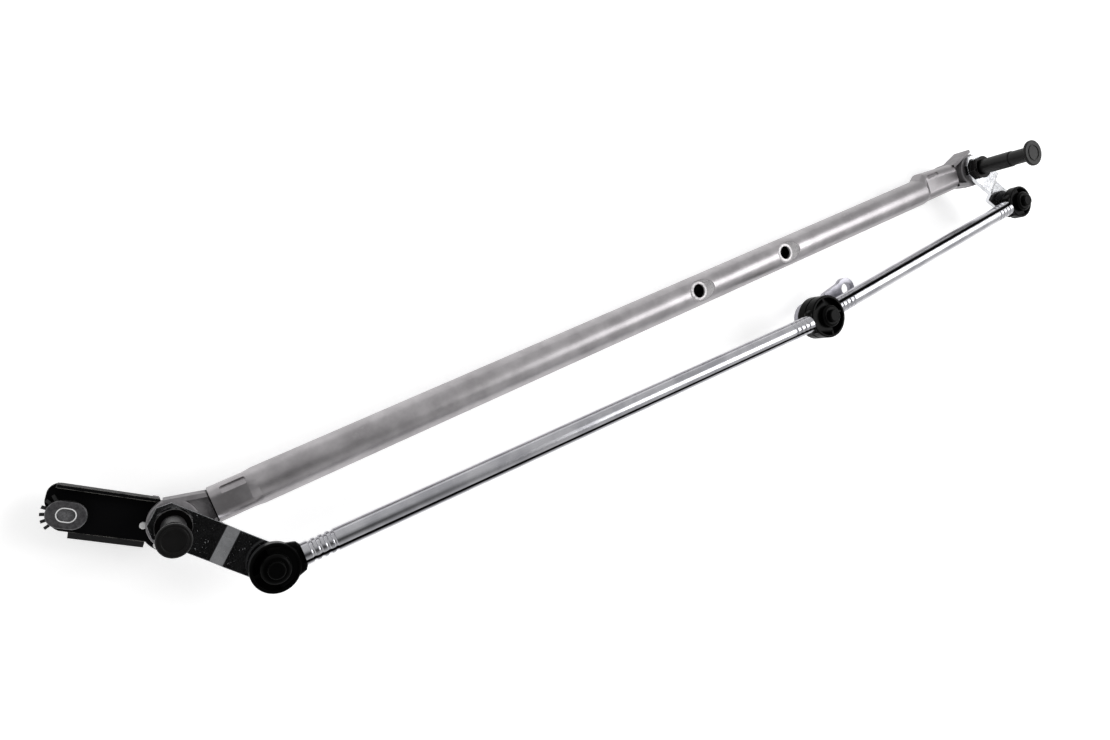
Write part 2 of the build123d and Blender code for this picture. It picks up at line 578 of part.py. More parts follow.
def closed_socket(radius, setback, seam_angle):
    """Socket with a closed hub over its ball, seen along +X towards its rod."""
    low = -SOCKET_HALF_HEIGHT
    disc = round_bar(radius, low, SOCKET_HALF_HEIGHT)
    disc = fillet(disc.edges().filter_by(GeomType.CIRCLE), CAST_EDGE)
    disc -= ring(radius - SOCKET_RIM, HUB_RADIUS, low + SOCKET_FLOOR, SOCKET_HALF_HEIGHT)
    for index in range(SOCKET_RIBS):
        spoke = Box(radius - HUB_RADIUS, SOCKET_RIB_WIDTH, 2 * SOCKET_HALF_HEIGHT - SOCKET_RIM)
        spoke = Pos((HUB_RADIUS + radius - SOCKET_RIM) / 2, 0, 0) * spoke
        disc += Rot(0, 0, 360 / SOCKET_RIBS * index) * spoke
    hub = round_bar(HUB_RADIUS, low, HUB_TOP)
    hub = fillet(hub.edges().filter_by(GeomType.CIRCLE).sort_by(Axis.Z)[-1], SOCKET_FLOOR)
    button = round_bar(HUB_BUTTON_RADIUS, 0, HUB_TOP + HUB_BUTTON_HEIGHT)
    button = fillet(button.edges().filter_by(GeomType.CIRCLE).sort_by(Axis.Z)[-1], CAST_EDGE)
    return disc + hub + button + socket_stem(setback, seam_angle) - Sphere(BALL_RADIUS + BALL_CLEARANCE)


def open_socket(radius, setback, seam_angle):
    """Flat socket that its ball pin passes through, under the other rod's socket."""
    disc = round_bar(radius, -SOCKET_HALF_HEIGHT, SOCKET_HALF_HEIGHT)
    disc = fillet(disc.edges().filter_by(GeomType.CIRCLE), CAST_EDGE)
    body = disc + socket_stem(setback, seam_angle)
    mouth = round_bar(PIN_NECK_RADIUS + ROD_WALL, -SOCKET_HALF_HEIGHT, SOCKET_HALF_HEIGHT)
    return body - Sphere(BALL_RADIUS + BALL_CLEARANCE) - mouth


def seal(plate_top, level):
    """Rubber seal from a socket's foot down to the plate below it."""
    bottom = plate_top + SEAL_GAP
    top = level - SOCKET_HALF_HEIGHT
    sleeve = cone_bar(SEAL_RADIUS, SEAL_TOP_RADIUS, bottom, top)
    return sleeve - cone_bar(SEAL_RADIUS - SEAL_WALL, SEAL_TOP_RADIUS - SEAL_WALL, bottom, top)


def at_joint(place, level, heading, piece):
    """Piece turned to its rod's heading at a ball's place and level."""
    return Pos(place[0], place[1], level) * Rot(0, 0, heading) * piece


def bracket_frame():
    """Left spindle's axis, with +X turned along the support bracket."""
    return Pos(SPINDLE_X["left"], 0, 0) * Rot(0, 0, BRACKET_ANGLE)


def bracket_outline():
    """Outline of the bracket's web, in its own frame: collar, arm and an end with one square corner."""
    width = BRACKET_OUTER_EDGE - BRACKET_INNER_EDGE
    middle = (BRACKET_OUTER_EDGE + BRACKET_INNER_EDGE) / 2
    arm = Pos(BUSH_ALONG / 2, middle, 0) * Rectangle(BUSH_ALONG, width)
    end = Pos(BUSH_ALONG, BUSH_ACROSS, 0) * Circle(BRACKET_END_RADIUS)
    corner_half = BRACKET_CORNER_REACH - BUSH_ALONG
    corner_width = BUSH_ACROSS - BRACKET_INNER_EDGE
    corner = Pos(BUSH_ALONG, BRACKET_INNER_EDGE + corner_width / 2, 0)
    corner = corner * RectangleRounded(2 * corner_half, corner_width, BRACKET_CORNER_RADIUS)
    limit = Pos(0, middle, 0) * Rectangle(4 * BUSH_ALONG, width)
    collar = Circle(BRACKET_COLLAR_RADIUS) & inner_limit()
    return collar + arm + (end & limit) + corner


def inner_limit():
    """Half plane on the outer side of the bracket's inner edge, in its own frame."""
    reach = 4 * BUSH_ALONG
    return Pos(0, BRACKET_INNER_EDGE + reach / 2, 0) * Rectangle(reach, reach)


def support_bracket():
    """Stamped sheet bracket: collar on the boss, arm with a flange and a lip, and the grommet's hole."""
    bottom = BRACKET_TOP - BRACKET_SHEET
    flat = slab(bracket_outline(), bottom, BRACKET_TOP)
    length = BRACKET_FLANGE_END - BRACKET_FLANGE_START
    middle = BRACKET_FLANGE_START + length / 2
    centre = (middle, BRACKET_INNER_EDGE + BRACKET_SHEET / 2, BRACKET_TOP + BRACKET_FLANGE_HEIGHT / 2)
    flange = Pos(*centre) * Box(length, BRACKET_SHEET, BRACKET_FLANGE_HEIGHT)
    flange = fillet(flange.edges().filter_by(Axis.Y).group_by(Axis.Z)[-1], BRACKET_FLANGE_HEIGHT / 3)
    edge = BRACKET_OUTER_EDGE - BRACKET_SHEET
    lip_points = (
        (edge, bottom), (edge, BRACKET_TOP), (BRACKET_OUTER_EDGE, BRACKET_TOP),
        (BRACKET_OUTER_EDGE + BRACKET_LIP_REACH, BRACKET_TOP - BRACKET_LIP_DROP),
        (BRACKET_OUTER_EDGE + BRACKET_LIP_REACH, bottom - BRACKET_LIP_DROP),
        (BRACKET_OUTER_EDGE, bottom))
    lip_end = BUSH_ALONG - BRACKET_END_RADIUS / 4
    section = Plane(origin=(BRACKET_LIP_START, 0, 0), x_dir=(0, 1, 0), z_dir=(1, 0, 0))
    lip = extrude(section * make_face(Polyline(*lip_points, close=True)), lip_end - BRACKET_LIP_START)
    hole = Pos(BUSH_ALONG, BUSH_ACROSS, 0) * grommet_bar(GROMMET_WALL, bottom, BRACKET_TOP)
    body = bracket_frame() * (flat + flange + lip - hole)
    x = SPINDLE_X["left"]
    body -= Pos(x, 0, 0) * round_bar(BOSS_NECK_RADIUS + BRACKET_HOLE_CLEARANCE, BOSS_BOTTOM, BOSS_TOP)
    cut = 4 * BRACKET_COLLAR_RADIUS
    body -= Pos(x + BRACKET_CUT_X + cut / 2, 0, 0) * Box(cut, cut, cut)
    for place in rivet_places():
        body -= Pos(x, 0, 0) * place * round_bar(RIVET_SHANK_RADIUS, bottom, BRACKET_TOP)
    return body


def grommet_bar(reach, bottom, top):
    """Upright oval bar that reaches a distance out from the sleeve's wall."""
    length = SLOT_LENGTH + 2 * (SLEEVE_WALL + reach)
    width = SLOT_WIDTH + 2 * (SLEEVE_WALL + reach)
    return obround(length, width, bottom, top)


def bracket_grommet():
    """Rubber grommet clipped over the bracket's sheet, ribbed round its upper lip."""
    middle = BRACKET_TOP - BRACKET_SHEET / 2
    low, high = middle - GROMMET_HEIGHT / 2, middle + GROMMET_HEIGHT / 2
    under, over = BRACKET_TOP - BRACKET_SHEET - GROMMET_CLEARANCE, BRACKET_TOP + GROMMET_CLEARANCE
    body = grommet_bar(GROMMET_WALL + GROMMET_FOOT, low, under)
    body += grommet_bar(GROMMET_WALL - GROMMET_CLEARANCE, under, over)
    length = SLOT_LENGTH + 2 * (SLEEVE_WALL + GROMMET_WALL + GROMMET_LIP)
    width = SLOT_WIDTH + 2 * (SLEEVE_WALL + GROMMET_WALL + GROMMET_LIP)
    upper = obround(length, width, over, high)
    reach = width / 2 + GROMMET_RIB_REACH
    rib = Pos(reach / 2, 0, 0) * Box(reach, GROMMET_RIB_WIDTH, GROMMET_RIB_HEIGHT)
    for index in range(GROMMET_RIBS):
        angle = GROMMET_RIB_SPREAD * (index / (GROMMET_RIBS - 1) - 0.5)
        upper += Pos((length - width) / 2, 0, over + GROMMET_RIB_HEIGHT / 2) * Rot(0, 0, angle) * rib
    body += upper
    body -= grommet_bar(0, low, high)
    return bracket_frame() * Pos(BUSH_ALONG, BUSH_ACROSS, 0) * body


def grommet_sleeve():
    """Oval steel sleeve through the grommet, with a slot for the body bolt and a flange on top."""
    seat = BRACKET_TOP - BRACKET_SHEET / 2 + GROMMET_HEIGHT / 2
    top = seat + SLEEVE_FLANGE_THICKNESS
    body = obround(SLOT_LENGTH + 2 * SLEEVE_WALL, SLOT_WIDTH + 2 * SLEEVE_WALL, top - SLEEVE_HEIGHT, top)
    flange = obround(SLEEVE_FLANGE_LENGTH, SLEEVE_FLANGE_WIDTH, seat, top)
    body += chamfer(flange.edges().group_by(Axis.Z)[-1], SLEEVE_FLANGE_THICKNESS / 4)
    body -= obround(SLOT_LENGTH, SLOT_WIDTH, top - SLEEVE_HEIGHT, top)
    return bracket_frame() * Pos(BUSH_ALONG, BUSH_ACROSS, 0) * body


def bracket_rivets():
    """Rivets through the bracket's collar and the boss's flange, as one group of solids."""
    under = BRACKET_TOP - BRACKET_SHEET - BRACKET_FLANGE_THICKNESS
    rivet = round_bar(RIVET_SHANK_RADIUS, under, BRACKET_TOP)
    head = round_bar(RIVET_HEAD_RADIUS, BRACKET_TOP, BRACKET_TOP + RIVET_HEAD_HEIGHT)
    rivet += fillet(head.edges().filter_by(GeomType.CIRCLE).sort_by(Axis.Z)[-1], RIVET_HEAD_HEIGHT * 0.8)
    rivet += round_bar(RIVET_HEAD_RADIUS, under - RIVET_HEAD_HEIGHT / 2, under)
    return Compound(children=[Pos(SPINDLE_X["left"], 0, 0) * place * rivet for place in rivet_places()])


def frame_nodes():
    """Everything that stays with the frame tube."""
    nodes = {"frame_tube": frame_tube()}
    for side in ("left", "right"):
        nodes[f"{side}_pivot_housing"] = housing(side)
        nodes[f"{side}_upper_bearing"] = bearing(side, BOSS_TOP - BEARING_LENGTH)
        nodes[f"{side}_lower_bearing"] = bearing(side, BOSS_BOTTOM)
        nodes[f"{side}_thrust_washer"] = thrust_washer(side, BOSS_TOP)
        nodes[f"{side}_foot_washer"] = thrust_washer(side, BOSS_BOTTOM - THRUST_WASHER_THICKNESS)
    nodes["support_bracket"] = support_bracket()
    nodes["bracket_rivets"] = bracket_rivets()
    nodes["bracket_grommet"] = bracket_grommet()
    nodes["grommet_sleeve"] = grommet_sleeve()
    return nodes


def spindle_nodes():
    """Both spindles with what turns on them, and their pull-off caps."""
    nodes = {}
    balls = {"left": (LONG_ROD_LEVEL, LEFT_BALL), "right": (SHORT_ROD_LEVEL, RIGHT_BALL)}
    for side in ("left", "right"):
        nodes[f"{side}_spindle"] = spindle(side)
        nodes[f"{side}_circlip"] = circlip(side)
        nodes[f"{side}_lever"] = lever(side)
        nodes[f"{side}_lever_nut"] = lever_nut(side)
        nodes[f"{side}_lock_washer"] = lock_washer(side)
        nodes[f"{side}_ball_pin"] = lever_ball_pin(side, *balls[side])
        nodes[f"{side}_spindle_cap"] = cap(side)
    return nodes


def linkage_nodes():
    """Both rods with their sockets and seals, and the crank with its double ball pin."""
    long_heading = rod_line(LEFT_BALL, CRANK_PIN)[1]
    short_heading = rod_line(CRANK_PIN, RIGHT_BALL)[1]
    end_socket = closed_socket(END_SOCKET_RADIUS, ROD_END_SETBACK, ROD_SEAM_ANGLE)
    mid_socket = closed_socket(MID_SOCKET_RADIUS, MID_ROD_SETBACK, -ROD_SEAM_ANGLE)
    low_socket = open_socket(MID_SOCKET_RADIUS, MID_ROD_SETBACK, -ROD_SEAM_ANGLE)
    left_plate = LEVER_TOP + LEFT_JOGGLE
    right_plate = LEVER_TOP + RIGHT_JOGGLE
    return {
        "long_rod_tube": rod_tube(LEFT_BALL, CRANK_PIN, LONG_ROD_LEVEL),
        "long_rod_left_socket": at_joint(LEFT_BALL, LONG_ROD_LEVEL, long_heading, end_socket),
        "long_rod_mid_socket": at_joint(CRANK_PIN, LONG_ROD_LEVEL, long_heading + 180, mid_socket),
        "long_rod_left_seal": at_joint(LEFT_BALL, 0, long_heading, seal(left_plate, LONG_ROD_LEVEL)),
        "short_rod_tube": rod_tube(RIGHT_BALL, CRANK_PIN, SHORT_ROD_LEVEL),
        "short_rod_mid_socket": at_joint(CRANK_PIN, SHORT_ROD_LEVEL, short_heading, low_socket),
        "short_rod_right_socket": at_joint(RIGHT_BALL, SHORT_ROD_LEVEL, short_heading + 180, end_socket),
        "short_rod_mid_seal": at_joint(CRANK_PIN, 0, short_heading, seal(CRANK_TOP, SHORT_ROD_LEVEL)),
        "short_rod_right_seal": at_joint(RIGHT_BALL, 0, short_heading, seal(right_plate, SHORT_ROD_LEVEL)),
        "crank_arm": crank_arm(),
        "crank_ball_pin": at_joint(CRANK_PIN, 0, CRANK_ANGLE,
                                   ball_pin(CRANK_TOP, CRANK_THICKNESS, [SHORT_ROD_LEVEL, LONG_ROD_LEVEL])),
    }


os.makedirs("parts", exist_ok=True)
for name, shape in {**frame_nodes(), **spindle_nodes(), **linkage_nodes()}.items():
    export_step(shape, f"parts/{name}.step")
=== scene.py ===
from math import cos, pi, radians, sin

import bmesh
import bpy
from mathutils import Matrix, Vector


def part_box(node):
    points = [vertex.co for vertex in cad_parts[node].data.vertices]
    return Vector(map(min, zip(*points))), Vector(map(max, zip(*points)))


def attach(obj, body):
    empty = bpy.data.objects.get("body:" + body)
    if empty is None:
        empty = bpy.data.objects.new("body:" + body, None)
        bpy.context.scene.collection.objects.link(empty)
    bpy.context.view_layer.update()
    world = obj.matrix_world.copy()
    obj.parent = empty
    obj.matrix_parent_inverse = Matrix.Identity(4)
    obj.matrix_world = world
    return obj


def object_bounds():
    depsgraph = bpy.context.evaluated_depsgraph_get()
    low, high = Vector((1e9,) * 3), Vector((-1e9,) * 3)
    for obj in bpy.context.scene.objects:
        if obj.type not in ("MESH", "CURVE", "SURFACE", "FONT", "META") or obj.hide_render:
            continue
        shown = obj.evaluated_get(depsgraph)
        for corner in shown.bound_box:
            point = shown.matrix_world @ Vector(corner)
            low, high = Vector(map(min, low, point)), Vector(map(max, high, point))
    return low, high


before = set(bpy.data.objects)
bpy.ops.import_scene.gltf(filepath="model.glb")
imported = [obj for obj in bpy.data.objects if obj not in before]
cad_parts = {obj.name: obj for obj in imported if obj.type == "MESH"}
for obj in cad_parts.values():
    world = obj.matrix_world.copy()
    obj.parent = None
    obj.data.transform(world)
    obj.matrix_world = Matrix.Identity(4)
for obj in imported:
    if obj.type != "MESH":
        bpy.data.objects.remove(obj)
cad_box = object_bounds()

# The frame tube: thin-walled steel tube, zinc plated after its ends were pressed and its bolt seats dimpled.
# The plating is satin, with soft grey clouds and lines along the draw, drawn coarser than they are to show.
# The punch left the two seats mottled and rough, and they are painted pale, partly for the crushed zinc
# and partly as a painted highlight. The right end is painted darker, as painted shade.
TUBE_GREY = "9C999B"
TUBE_PALE = "B4B1B3"
TUBE_CRUSHED_AND_HIGHLIGHT = "DCDADB"
TUBE_RIGHT_SHADE = "7C797B"
TUBE_RADIUS = 0.011
TUBE_SMOOTH = 0.34
TUBE_ROUGH = 0.44
DRAW_LINE = 0.0012
DRAW_STRETCH = 0.02
CLOUD = 0.018
RIGHT_SHADE_START = 0.06
RIGHT_SHADE_END = 0.26
RIGHT_SHADE_SHARE = 0.6
SEAT_PLACES = ((0.043, 0, 0.0085), (-0.043, 0, 0.0085))
SEAT_REACH = 0.0135
SEAT_FULL = 0.0108
SEAT_DROP = 0.0004
SEAT_ROUGH = 0.6
CRUSH_GRAIN = 0.0009


def linear(code):
    """Linear colour of an sRGB hex code."""
    parts = [int(code[place:place + 2], 16) / 255 for place in (0, 2, 4)]
    return [part / 12.92 if part <= 0.04045 else ((part + 0.055) / 1.055) ** 2.4 for part in parts] + [1]


def add(tree, kind, inputs=(), stops=(), **settings):
    """Adds a node. An input takes a value or another node's socket to link, and a ramp takes its stops."""
    node = tree.nodes.new("ShaderNode" + kind)
    for name, value in settings.items():
        setattr(node, name, value)
    for name, value in dict(inputs).items():
        if isinstance(value, bpy.types.NodeSocket):
            tree.links.new(value, node.inputs[name])
        else:
            node.inputs[name].default_value = value
    for number, (place, code) in enumerate(stops):
        elements = node.color_ramp.elements
        element = elements[number] if number < len(elements) else elements.new(place)
        element.position = place
        element.color = linear(code)
    return node


def new_finish(name):
    """A material with an empty tree, and the tree."""
    material = bpy.data.materials.new(name)
    material.use_nodes = True
    tree = material.node_tree
    tree.nodes.clear()
    return material, tree


def dress(nodes, material):
    """Gives CAD nodes a finish."""
    for name in nodes:
        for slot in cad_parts[name].material_slots:
            slot.material = material


drawn_zinc, tree = new_finish("drawn_zinc_plated_tube")
place = add(tree, "TexCoord").outputs["Object"]
stretched = add(tree, "Mapping", {"Vector": place, "Scale": (DRAW_STRETCH, 1, 1)}).outputs["Vector"]
lines = add(tree, "TexNoise", {"Vector": stretched, "Scale": 1 / DRAW_LINE, "Detail": 3})
clouds = add(tree, "TexNoise", {"Vector": place, "Scale": 1 / CLOUD, "Detail": 4, "Roughness": 0.6})
crush = add(tree, "TexNoise", {"Vector": place, "Scale": 1 / CRUSH_GRAIN, "Detail": 3})
ways = [add(tree, "VectorMath", {0: place, 1: seat}, operation="DISTANCE") for seat in SEAT_PLACES]
nearest = add(tree, "Math", {0: ways[0].outputs["Value"], 1: ways[1].outputs["Value"]}, operation="MINIMUM")
beside = add(tree, "MapRange", {
    "Value": nearest.outputs["Value"], "From Min": SEAT_REACH, "From Max": SEAT_FULL})
spoke = add(tree, "VectorMath", {0: place, 1: (0, 1, 1)}, operation="MULTIPLY")
radius = add(tree, "VectorMath", {0: spoke.outputs["Vector"]}, operation="LENGTH")
pressed = add(tree, "MapRange", {
    "Value": radius.outputs["Value"], "From Min": TUBE_RADIUS, "From Max": TUBE_RADIUS - SEAT_DROP,
    "To Max": beside.outputs["Result"]}).outputs["Result"]
mottle = add(tree, "Math", {0: pressed, 1: crush.outputs["Fac"]}, operation="MULTIPLY")
cloudy = add(tree, "Math", {0: clouds.outputs["Fac"], 1: mottle.outputs["Value"]}, operation="SUBTRACT")
# The seats' pale stop is partly crushed zinc and partly a painted highlight.
tone = add(tree, "ValToRGB", {"Fac": cloudy.outputs["Value"]},
           [(0.0, TUBE_CRUSHED_AND_HIGHLIGHT), (0.35, TUBE_GREY), (0.65, TUBE_PALE)])
# Painted shade: the tube's colour darkens towards its right end.
along = add(tree, "SeparateXYZ", {"Vector": place})
depth = add(tree, "MapRange", {
    "Value": along.outputs["X"], "From Min": RIGHT_SHADE_START, "From Max": RIGHT_SHADE_END, "To Max": RIGHT_SHADE_SHARE})
plated = add(tree, "Mix", {
    0: depth.outputs["Result"], 6: tone.outputs["Color"], 7: linear(TUBE_RIGHT_SHADE)}, data_type="RGBA")
satin = add(tree, "MapRange", {"Value": clouds.outputs["Fac"], "To Min": TUBE_SMOOTH, "To Max": TUBE_ROUGH})
gloss = add(tree, "MapRange", {"Value": pressed, "To Min": satin.outputs["Result"], "To Max": SEAT_ROUGH})
ripple = add(tree, "Math", {0: lines.outputs["Fac"], 1: mottle.outputs["Value"]}, operation="ADD")
relief = add(tree, "Bump", {"Height": ripple.outputs["Value"], "Strength": 0.12, "Distance": 0.0002})
shader = add(tree, "BsdfPrincipled", {
    "Base Color": plated.outputs[2], "Metallic": 1.0, "Roughness": gloss.outputs["Result"],
    "Normal": relief.outputs["Normal"]})
add(tree, "OutputMaterial", {"Surface": shader.outputs["BSDF"]})
dress(["frame_tube"], drawn_zinc)

# The tube's weld: it was rolled from strip and welded along its length, and the bead was planed almost
# flush. It lies on the underside, towards the back, between the two pressed ends.
WELD_WIDTH = 0.0024
WELD_RISE = 0.0003
WELD_RIPPLE = 0.0021
WELD_WAVE = 0.2
WELD_CUTS = 160
WELD_TURN = radians(150)
LEFT_PRESSED = 0.028
RIGHT_PRESSED = 0.046
FACE_ORDER = Vector((1, 0.618, 0.377))


def piece(name, shape, body, finish):
    """Turns a bmesh into an object that rides on a body."""
    bmesh.ops.remove_doubles(shape, verts=shape.verts, dist=1e-6)
    bmesh.ops.recalc_face_normals(shape, faces=shape.faces)
    # An extrusion makes its faces in another order each run, so they are sorted along one skew line.
    shape.faces.sort(key=lambda face: face.calc_center_median().dot(FACE_ORDER))
    mesh = bpy.data.meshes.new(name)
    shape.to_mesh(mesh)
    shape.free()
    mesh.materials.append(finish)
    thing = bpy.data.objects.new(name, mesh)
    bpy.context.scene.collection.objects.link(thing)
    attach(thing, body)


low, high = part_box("frame_tube")
length = high.x - RIGHT_PRESSED - low.x - LEFT_PRESSED
weld = bmesh.new()
bmesh.ops.create_cone(
    weld, cap_ends=True, segments=12, radius1=WELD_WIDTH / 2, radius2=WELD_WIDTH / 2, depth=length)
long_edges = [edge for edge in weld.edges if edge.calc_length() > length / 2]
bmesh.ops.subdivide_edges(weld, edges=long_edges, cuts=WELD_CUTS)
bmesh.ops.scale(weld, verts=weld.verts, vec=(2 * WELD_RISE / WELD_WIDTH, 1, 1))
for vert in weld.verts:
    vert.co.x *= 1 + WELD_WAVE * sin(vert.co.z / WELD_RIPPLE * 2 * pi)
bmesh.ops.rotate(weld, verts=weld.verts, matrix=Matrix.Rotation(pi / 2, 3, "Y"))
bmesh.ops.translate(weld, verts=weld.verts, vec=(low.x + LEFT_PRESSED + length / 2, 0, TUBE_RADIUS))
bmesh.ops.rotate(weld, verts=weld.verts, matrix=Matrix.Rotation(-WELD_TURN, 3, "X"))
piece("tube_weld_bead", weld, "frame", drawn_zinc)

# The pivot housings: aluminium castings from a pressure die, left as cast. The skin is matt grey and
# finely mottled, and a dark band is painted where their spigots enter the tube's mouths, as painted shade
# in the joint.
CAST_GREY = "9A989A"
CAST_DARK = "827F81"
CAST_JOINT_SHADE = "1E1D1D"
CAST_METALLIC = 0.7
CAST_SMOOTH = 0.55
CAST_ROUGH = 0.72
CAST_GRAIN = 0.0011
CAST_FLOW = 0.0111
CAST_EDGE = 0.0005
JOINT_SHADE_REACH = 0.0011

cast, tree = new_finish("pressure_cast_aluminium")
place = add(tree, "TexCoord").outputs["Object"]
grain = add(tree, "TexNoise", {"Vector": place, "Scale": 1 / CAST_GRAIN, "Detail": 4, "Roughness": 0.65})
flow = add(tree, "TexNoise", {"Vector": place, "Scale": 1 / CAST_FLOW, "Detail": 3, "Distortion": 0.8})
clean = add(tree, "ValToRGB", {"Fac": flow.outputs["Fac"]}, [(0.3, CAST_DARK), (0.7, CAST_GREY)])
low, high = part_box("frame_tube")
along = add(tree, "SeparateXYZ", {"Vector": place})
offset = add(tree, "Math", {0: along.outputs["X"], 1: (low.x + high.x) / 2}, operation="SUBTRACT")
reach = add(tree, "Math", {0: offset.outputs["Value"]}, operation="ABSOLUTE")
mouth = (high.x - low.x) / 2
# Painted shade: the housings darken where they meet the tube's mouths.
joint_shade = add(tree, "MapRange", {
    "Value": reach.outputs["Value"], "From Min": mouth + JOINT_SHADE_REACH, "From Max": mouth + JOINT_SHADE_REACH / 2})
tone = add(tree, "Mix", {
    0: joint_shade.outputs["Result"], 6: clean.outputs["Color"], 7: linear(CAST_JOINT_SHADE)}, data_type="RGBA")
gloss = add(tree, "MapRange", {"Value": grain.outputs["Fac"], "To Min": CAST_SMOOTH, "To Max": CAST_ROUGH})
rounded = add(tree, "Bevel", {"Radius": CAST_EDGE}, samples=4)
relief = add(tree, "Bump", {
    "Height": grain.outputs["Fac"], "Strength": 0.25, "Distance": 0.0003,
    "Normal": rounded.outputs["Normal"]})
shader = add(tree, "BsdfPrincipled", {
    "Base Color": tone.outputs[2], "Metallic": CAST_METALLIC, "Roughness": gloss.outputs["Result"],
    "Normal": relief.outputs["Normal"]})
add(tree, "OutputMaterial", {"Surface": shader.outputs["BSDF"]})
dress(["left_pivot_housing", "right_pivot_housing"], cast)

# Flash lines of the castings: where the halves of the die met, a thin ridge of metal runs down the head
# and the foot of each boss, on both sides.
FLASH_RADIUS = 0.00035
HEAD_RADIUS = 0.0134
HEAD_HEIGHT = 0.0095
FOOT_RADIUS = 0.0108
FOOT_HEIGHT = 0.0132
FLASH_TURNS = (radians(75), radians(255))


def middle(node):
    """Middle of a CAD node's box."""
    return (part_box(node)[0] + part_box(node)[1]) / 2


def upright_ridge(shape, radius, turn, bottom, height, thickness):
    """Adds a thin half-round ridge to the side of an upright round."""
    made = bmesh.ops.create_cone(
        shape, cap_ends=True, segments=8, radius1=thickness, radius2=thickness, depth=height)["verts"]
    bmesh.ops.translate(shape, verts=made, vec=(radius * cos(turn), radius * sin(turn), bottom + height / 2))


for side in ("left", "right"):
    low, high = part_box(f"{side}_pivot_housing")
    axis = middle(f"{side}_spindle")
    head_length = HEAD_HEIGHT - FLASH_RADIUS
    flash = bmesh.new()
    for turn in FLASH_TURNS:
        upright_ridge(flash, HEAD_RADIUS, turn, high.z - HEAD_HEIGHT, head_length, FLASH_RADIUS)
        upright_ridge(flash, FOOT_RADIUS, turn, low.z + FLASH_RADIUS, FOOT_HEIGHT, FLASH_RADIUS)
    bmesh.ops.translate(flash, verts=flash.verts, vec=(axis.x, axis.y, 0))
    piece(f"{side}_casting_flash", flash, "frame", cast)

# Bearing bushes: sintered bronze, pressed into the housings and soaked in oil. They are oily brown, with
# open pores, drawn coarser than they are to show.
BRONZE = "8A6238"
BRONZE_DARK = "4F3720"
BRONZE_ROUGH = 0.38
PORE = 0.0006

bronze, tree = new_finish("sintered_bronze")
place = add(tree, "TexCoord").outputs["Object"]
pores = add(tree, "TexNoise", {"Vector": place, "Scale": 1 / PORE, "Detail": 3})
tone = add(tree, "ValToRGB", {"Fac": pores.outputs["Fac"]}, [(0.38, BRONZE_DARK), (0.5, BRONZE)])
relief = add(tree, "Bump", {"Height": pores.outputs["Fac"], "Strength": 0.3, "Distance": 0.0002})
shader = add(tree, "BsdfPrincipled", {
    "Base Color": tone.outputs["Color"], "Metallic": 1.0, "Roughness": BRONZE_ROUGH,
    "Normal": relief.outputs["Normal"]})
add(tree, "OutputMaterial", {"Surface": shader.outputs["BSDF"]})
dress([f"{side}_{level}_bearing" for side in ("left", "right") for level in ("upper", "lower")], bronze)

# Plated levers and crank: mild steel plate, blanked, joggled in a press and zinc plated. The levers are
# bright, with scuffs, small dull flecks and faint rolling marks, drawn coarser than they are to show, and
# mirror what stands over them. The crank is duller, and its colours are a darker copy of the levers' zinc,
# painted shade for the dark socket and seal that it mirrors.
PLATE = "D2D3D6"
PLATE_DULL = "BCBDC0"
PLATE_SMOOTH = 0.08
PLATE_ROUGH = 0.17
CRANK_SHADED_ZINC = "A3A2A9"
CRANK_SHADED_DULL = "8C8B92"
CRANK_SMOOTH = 0.28
CRANK_ROUGH = 0.38
SCUFF = 0.0077
ROLL_MARK = 0.0009
ROLL_STRETCH = 0.08
FLECK = 0.0016
FLECK_START = 0.66
FLECK_FULL = 0.74
FLECK_ROUGH = 0.5
PLATE_EDGE = 0.0005


def plate_finish(name, dull, bright, smooth, rough):
    """Zinc plate over rolled steel, scuffed, with edges rounded by the blanking."""
    material, tree = new_finish(name)
    place = add(tree, "TexCoord").outputs["Object"]
    scuffs = add(tree, "TexNoise", {"Vector": place, "Scale": 1 / SCUFF, "Detail": 6, "Roughness": 0.7})
    stretched = add(tree, "Mapping", {"Vector": place, "Scale": (1, ROLL_STRETCH, 1)}).outputs["Vector"]
    marks = add(tree, "TexNoise", {"Vector": stretched, "Scale": 1 / ROLL_MARK, "Detail": 2})
    tone = add(tree, "ValToRGB", {"Fac": scuffs.outputs["Fac"]}, [(0.4, dull), (0.6, bright)])
    sheen = add(tree, "MapRange", {"Value": scuffs.outputs["Fac"], "To Min": smooth, "To Max": rough})
    nicks = add(tree, "TexNoise", {"Vector": place, "Scale": 1 / FLECK, "Detail": 3, "Distortion": 1.5})
    flecks = add(tree, "MapRange", {
        "Value": nicks.outputs["Fac"], "From Min": FLECK_START, "From Max": FLECK_FULL})
    gloss = add(tree, "MapRange", {
        "Value": flecks.outputs["Result"], "To Min": sheen.outputs["Result"], "To Max": FLECK_ROUGH})
    rounded = add(tree, "Bevel", {"Radius": PLATE_EDGE}, samples=4)
    relief = add(tree, "Bump", {
        "Height": marks.outputs["Fac"], "Strength": 0.02, "Distance": 0.0002,
        "Normal": rounded.outputs["Normal"]})
    shader = add(tree, "BsdfPrincipled", {
        "Base Color": tone.outputs["Color"], "Metallic": 1.0, "Roughness": gloss.outputs["Result"],
        "Normal": relief.outputs["Normal"]})
    add(tree, "OutputMaterial", {"Surface": shader.outputs["BSDF"]})
    return material


lever_zinc = plate_finish("bright_zinc_plated_steel", PLATE_DULL, PLATE, PLATE_SMOOTH, PLATE_ROUGH)
dress(["left_lever", "right_lever"], lever_zinc)
# The crank's darker colours are painted shade.
crank_shaded_zinc = plate_finish("shaded_dull_zinc_plated_steel", CRANK_SHADED_DULL, CRANK_SHADED_ZINC, CRANK_SMOOTH, CRANK_ROUGH)
dress(["crank_arm"], crank_shaded_zinc)

# The teeth in the crank's bore: a broach cut them through the plate before it was plated. They grip the
# toothed cone of the motor's shaft.
CRANK_REACH = 0.0505
CRANK_HEADING = radians(8.4)
CRANK_THICKNESS = 0.004
BORE_TEETH = 36
BORE_CREST = 0.0047
BORE_ROOT = 0.0051
BORE_BACK = 0.0053
BORE_SETBACK = 0.0001

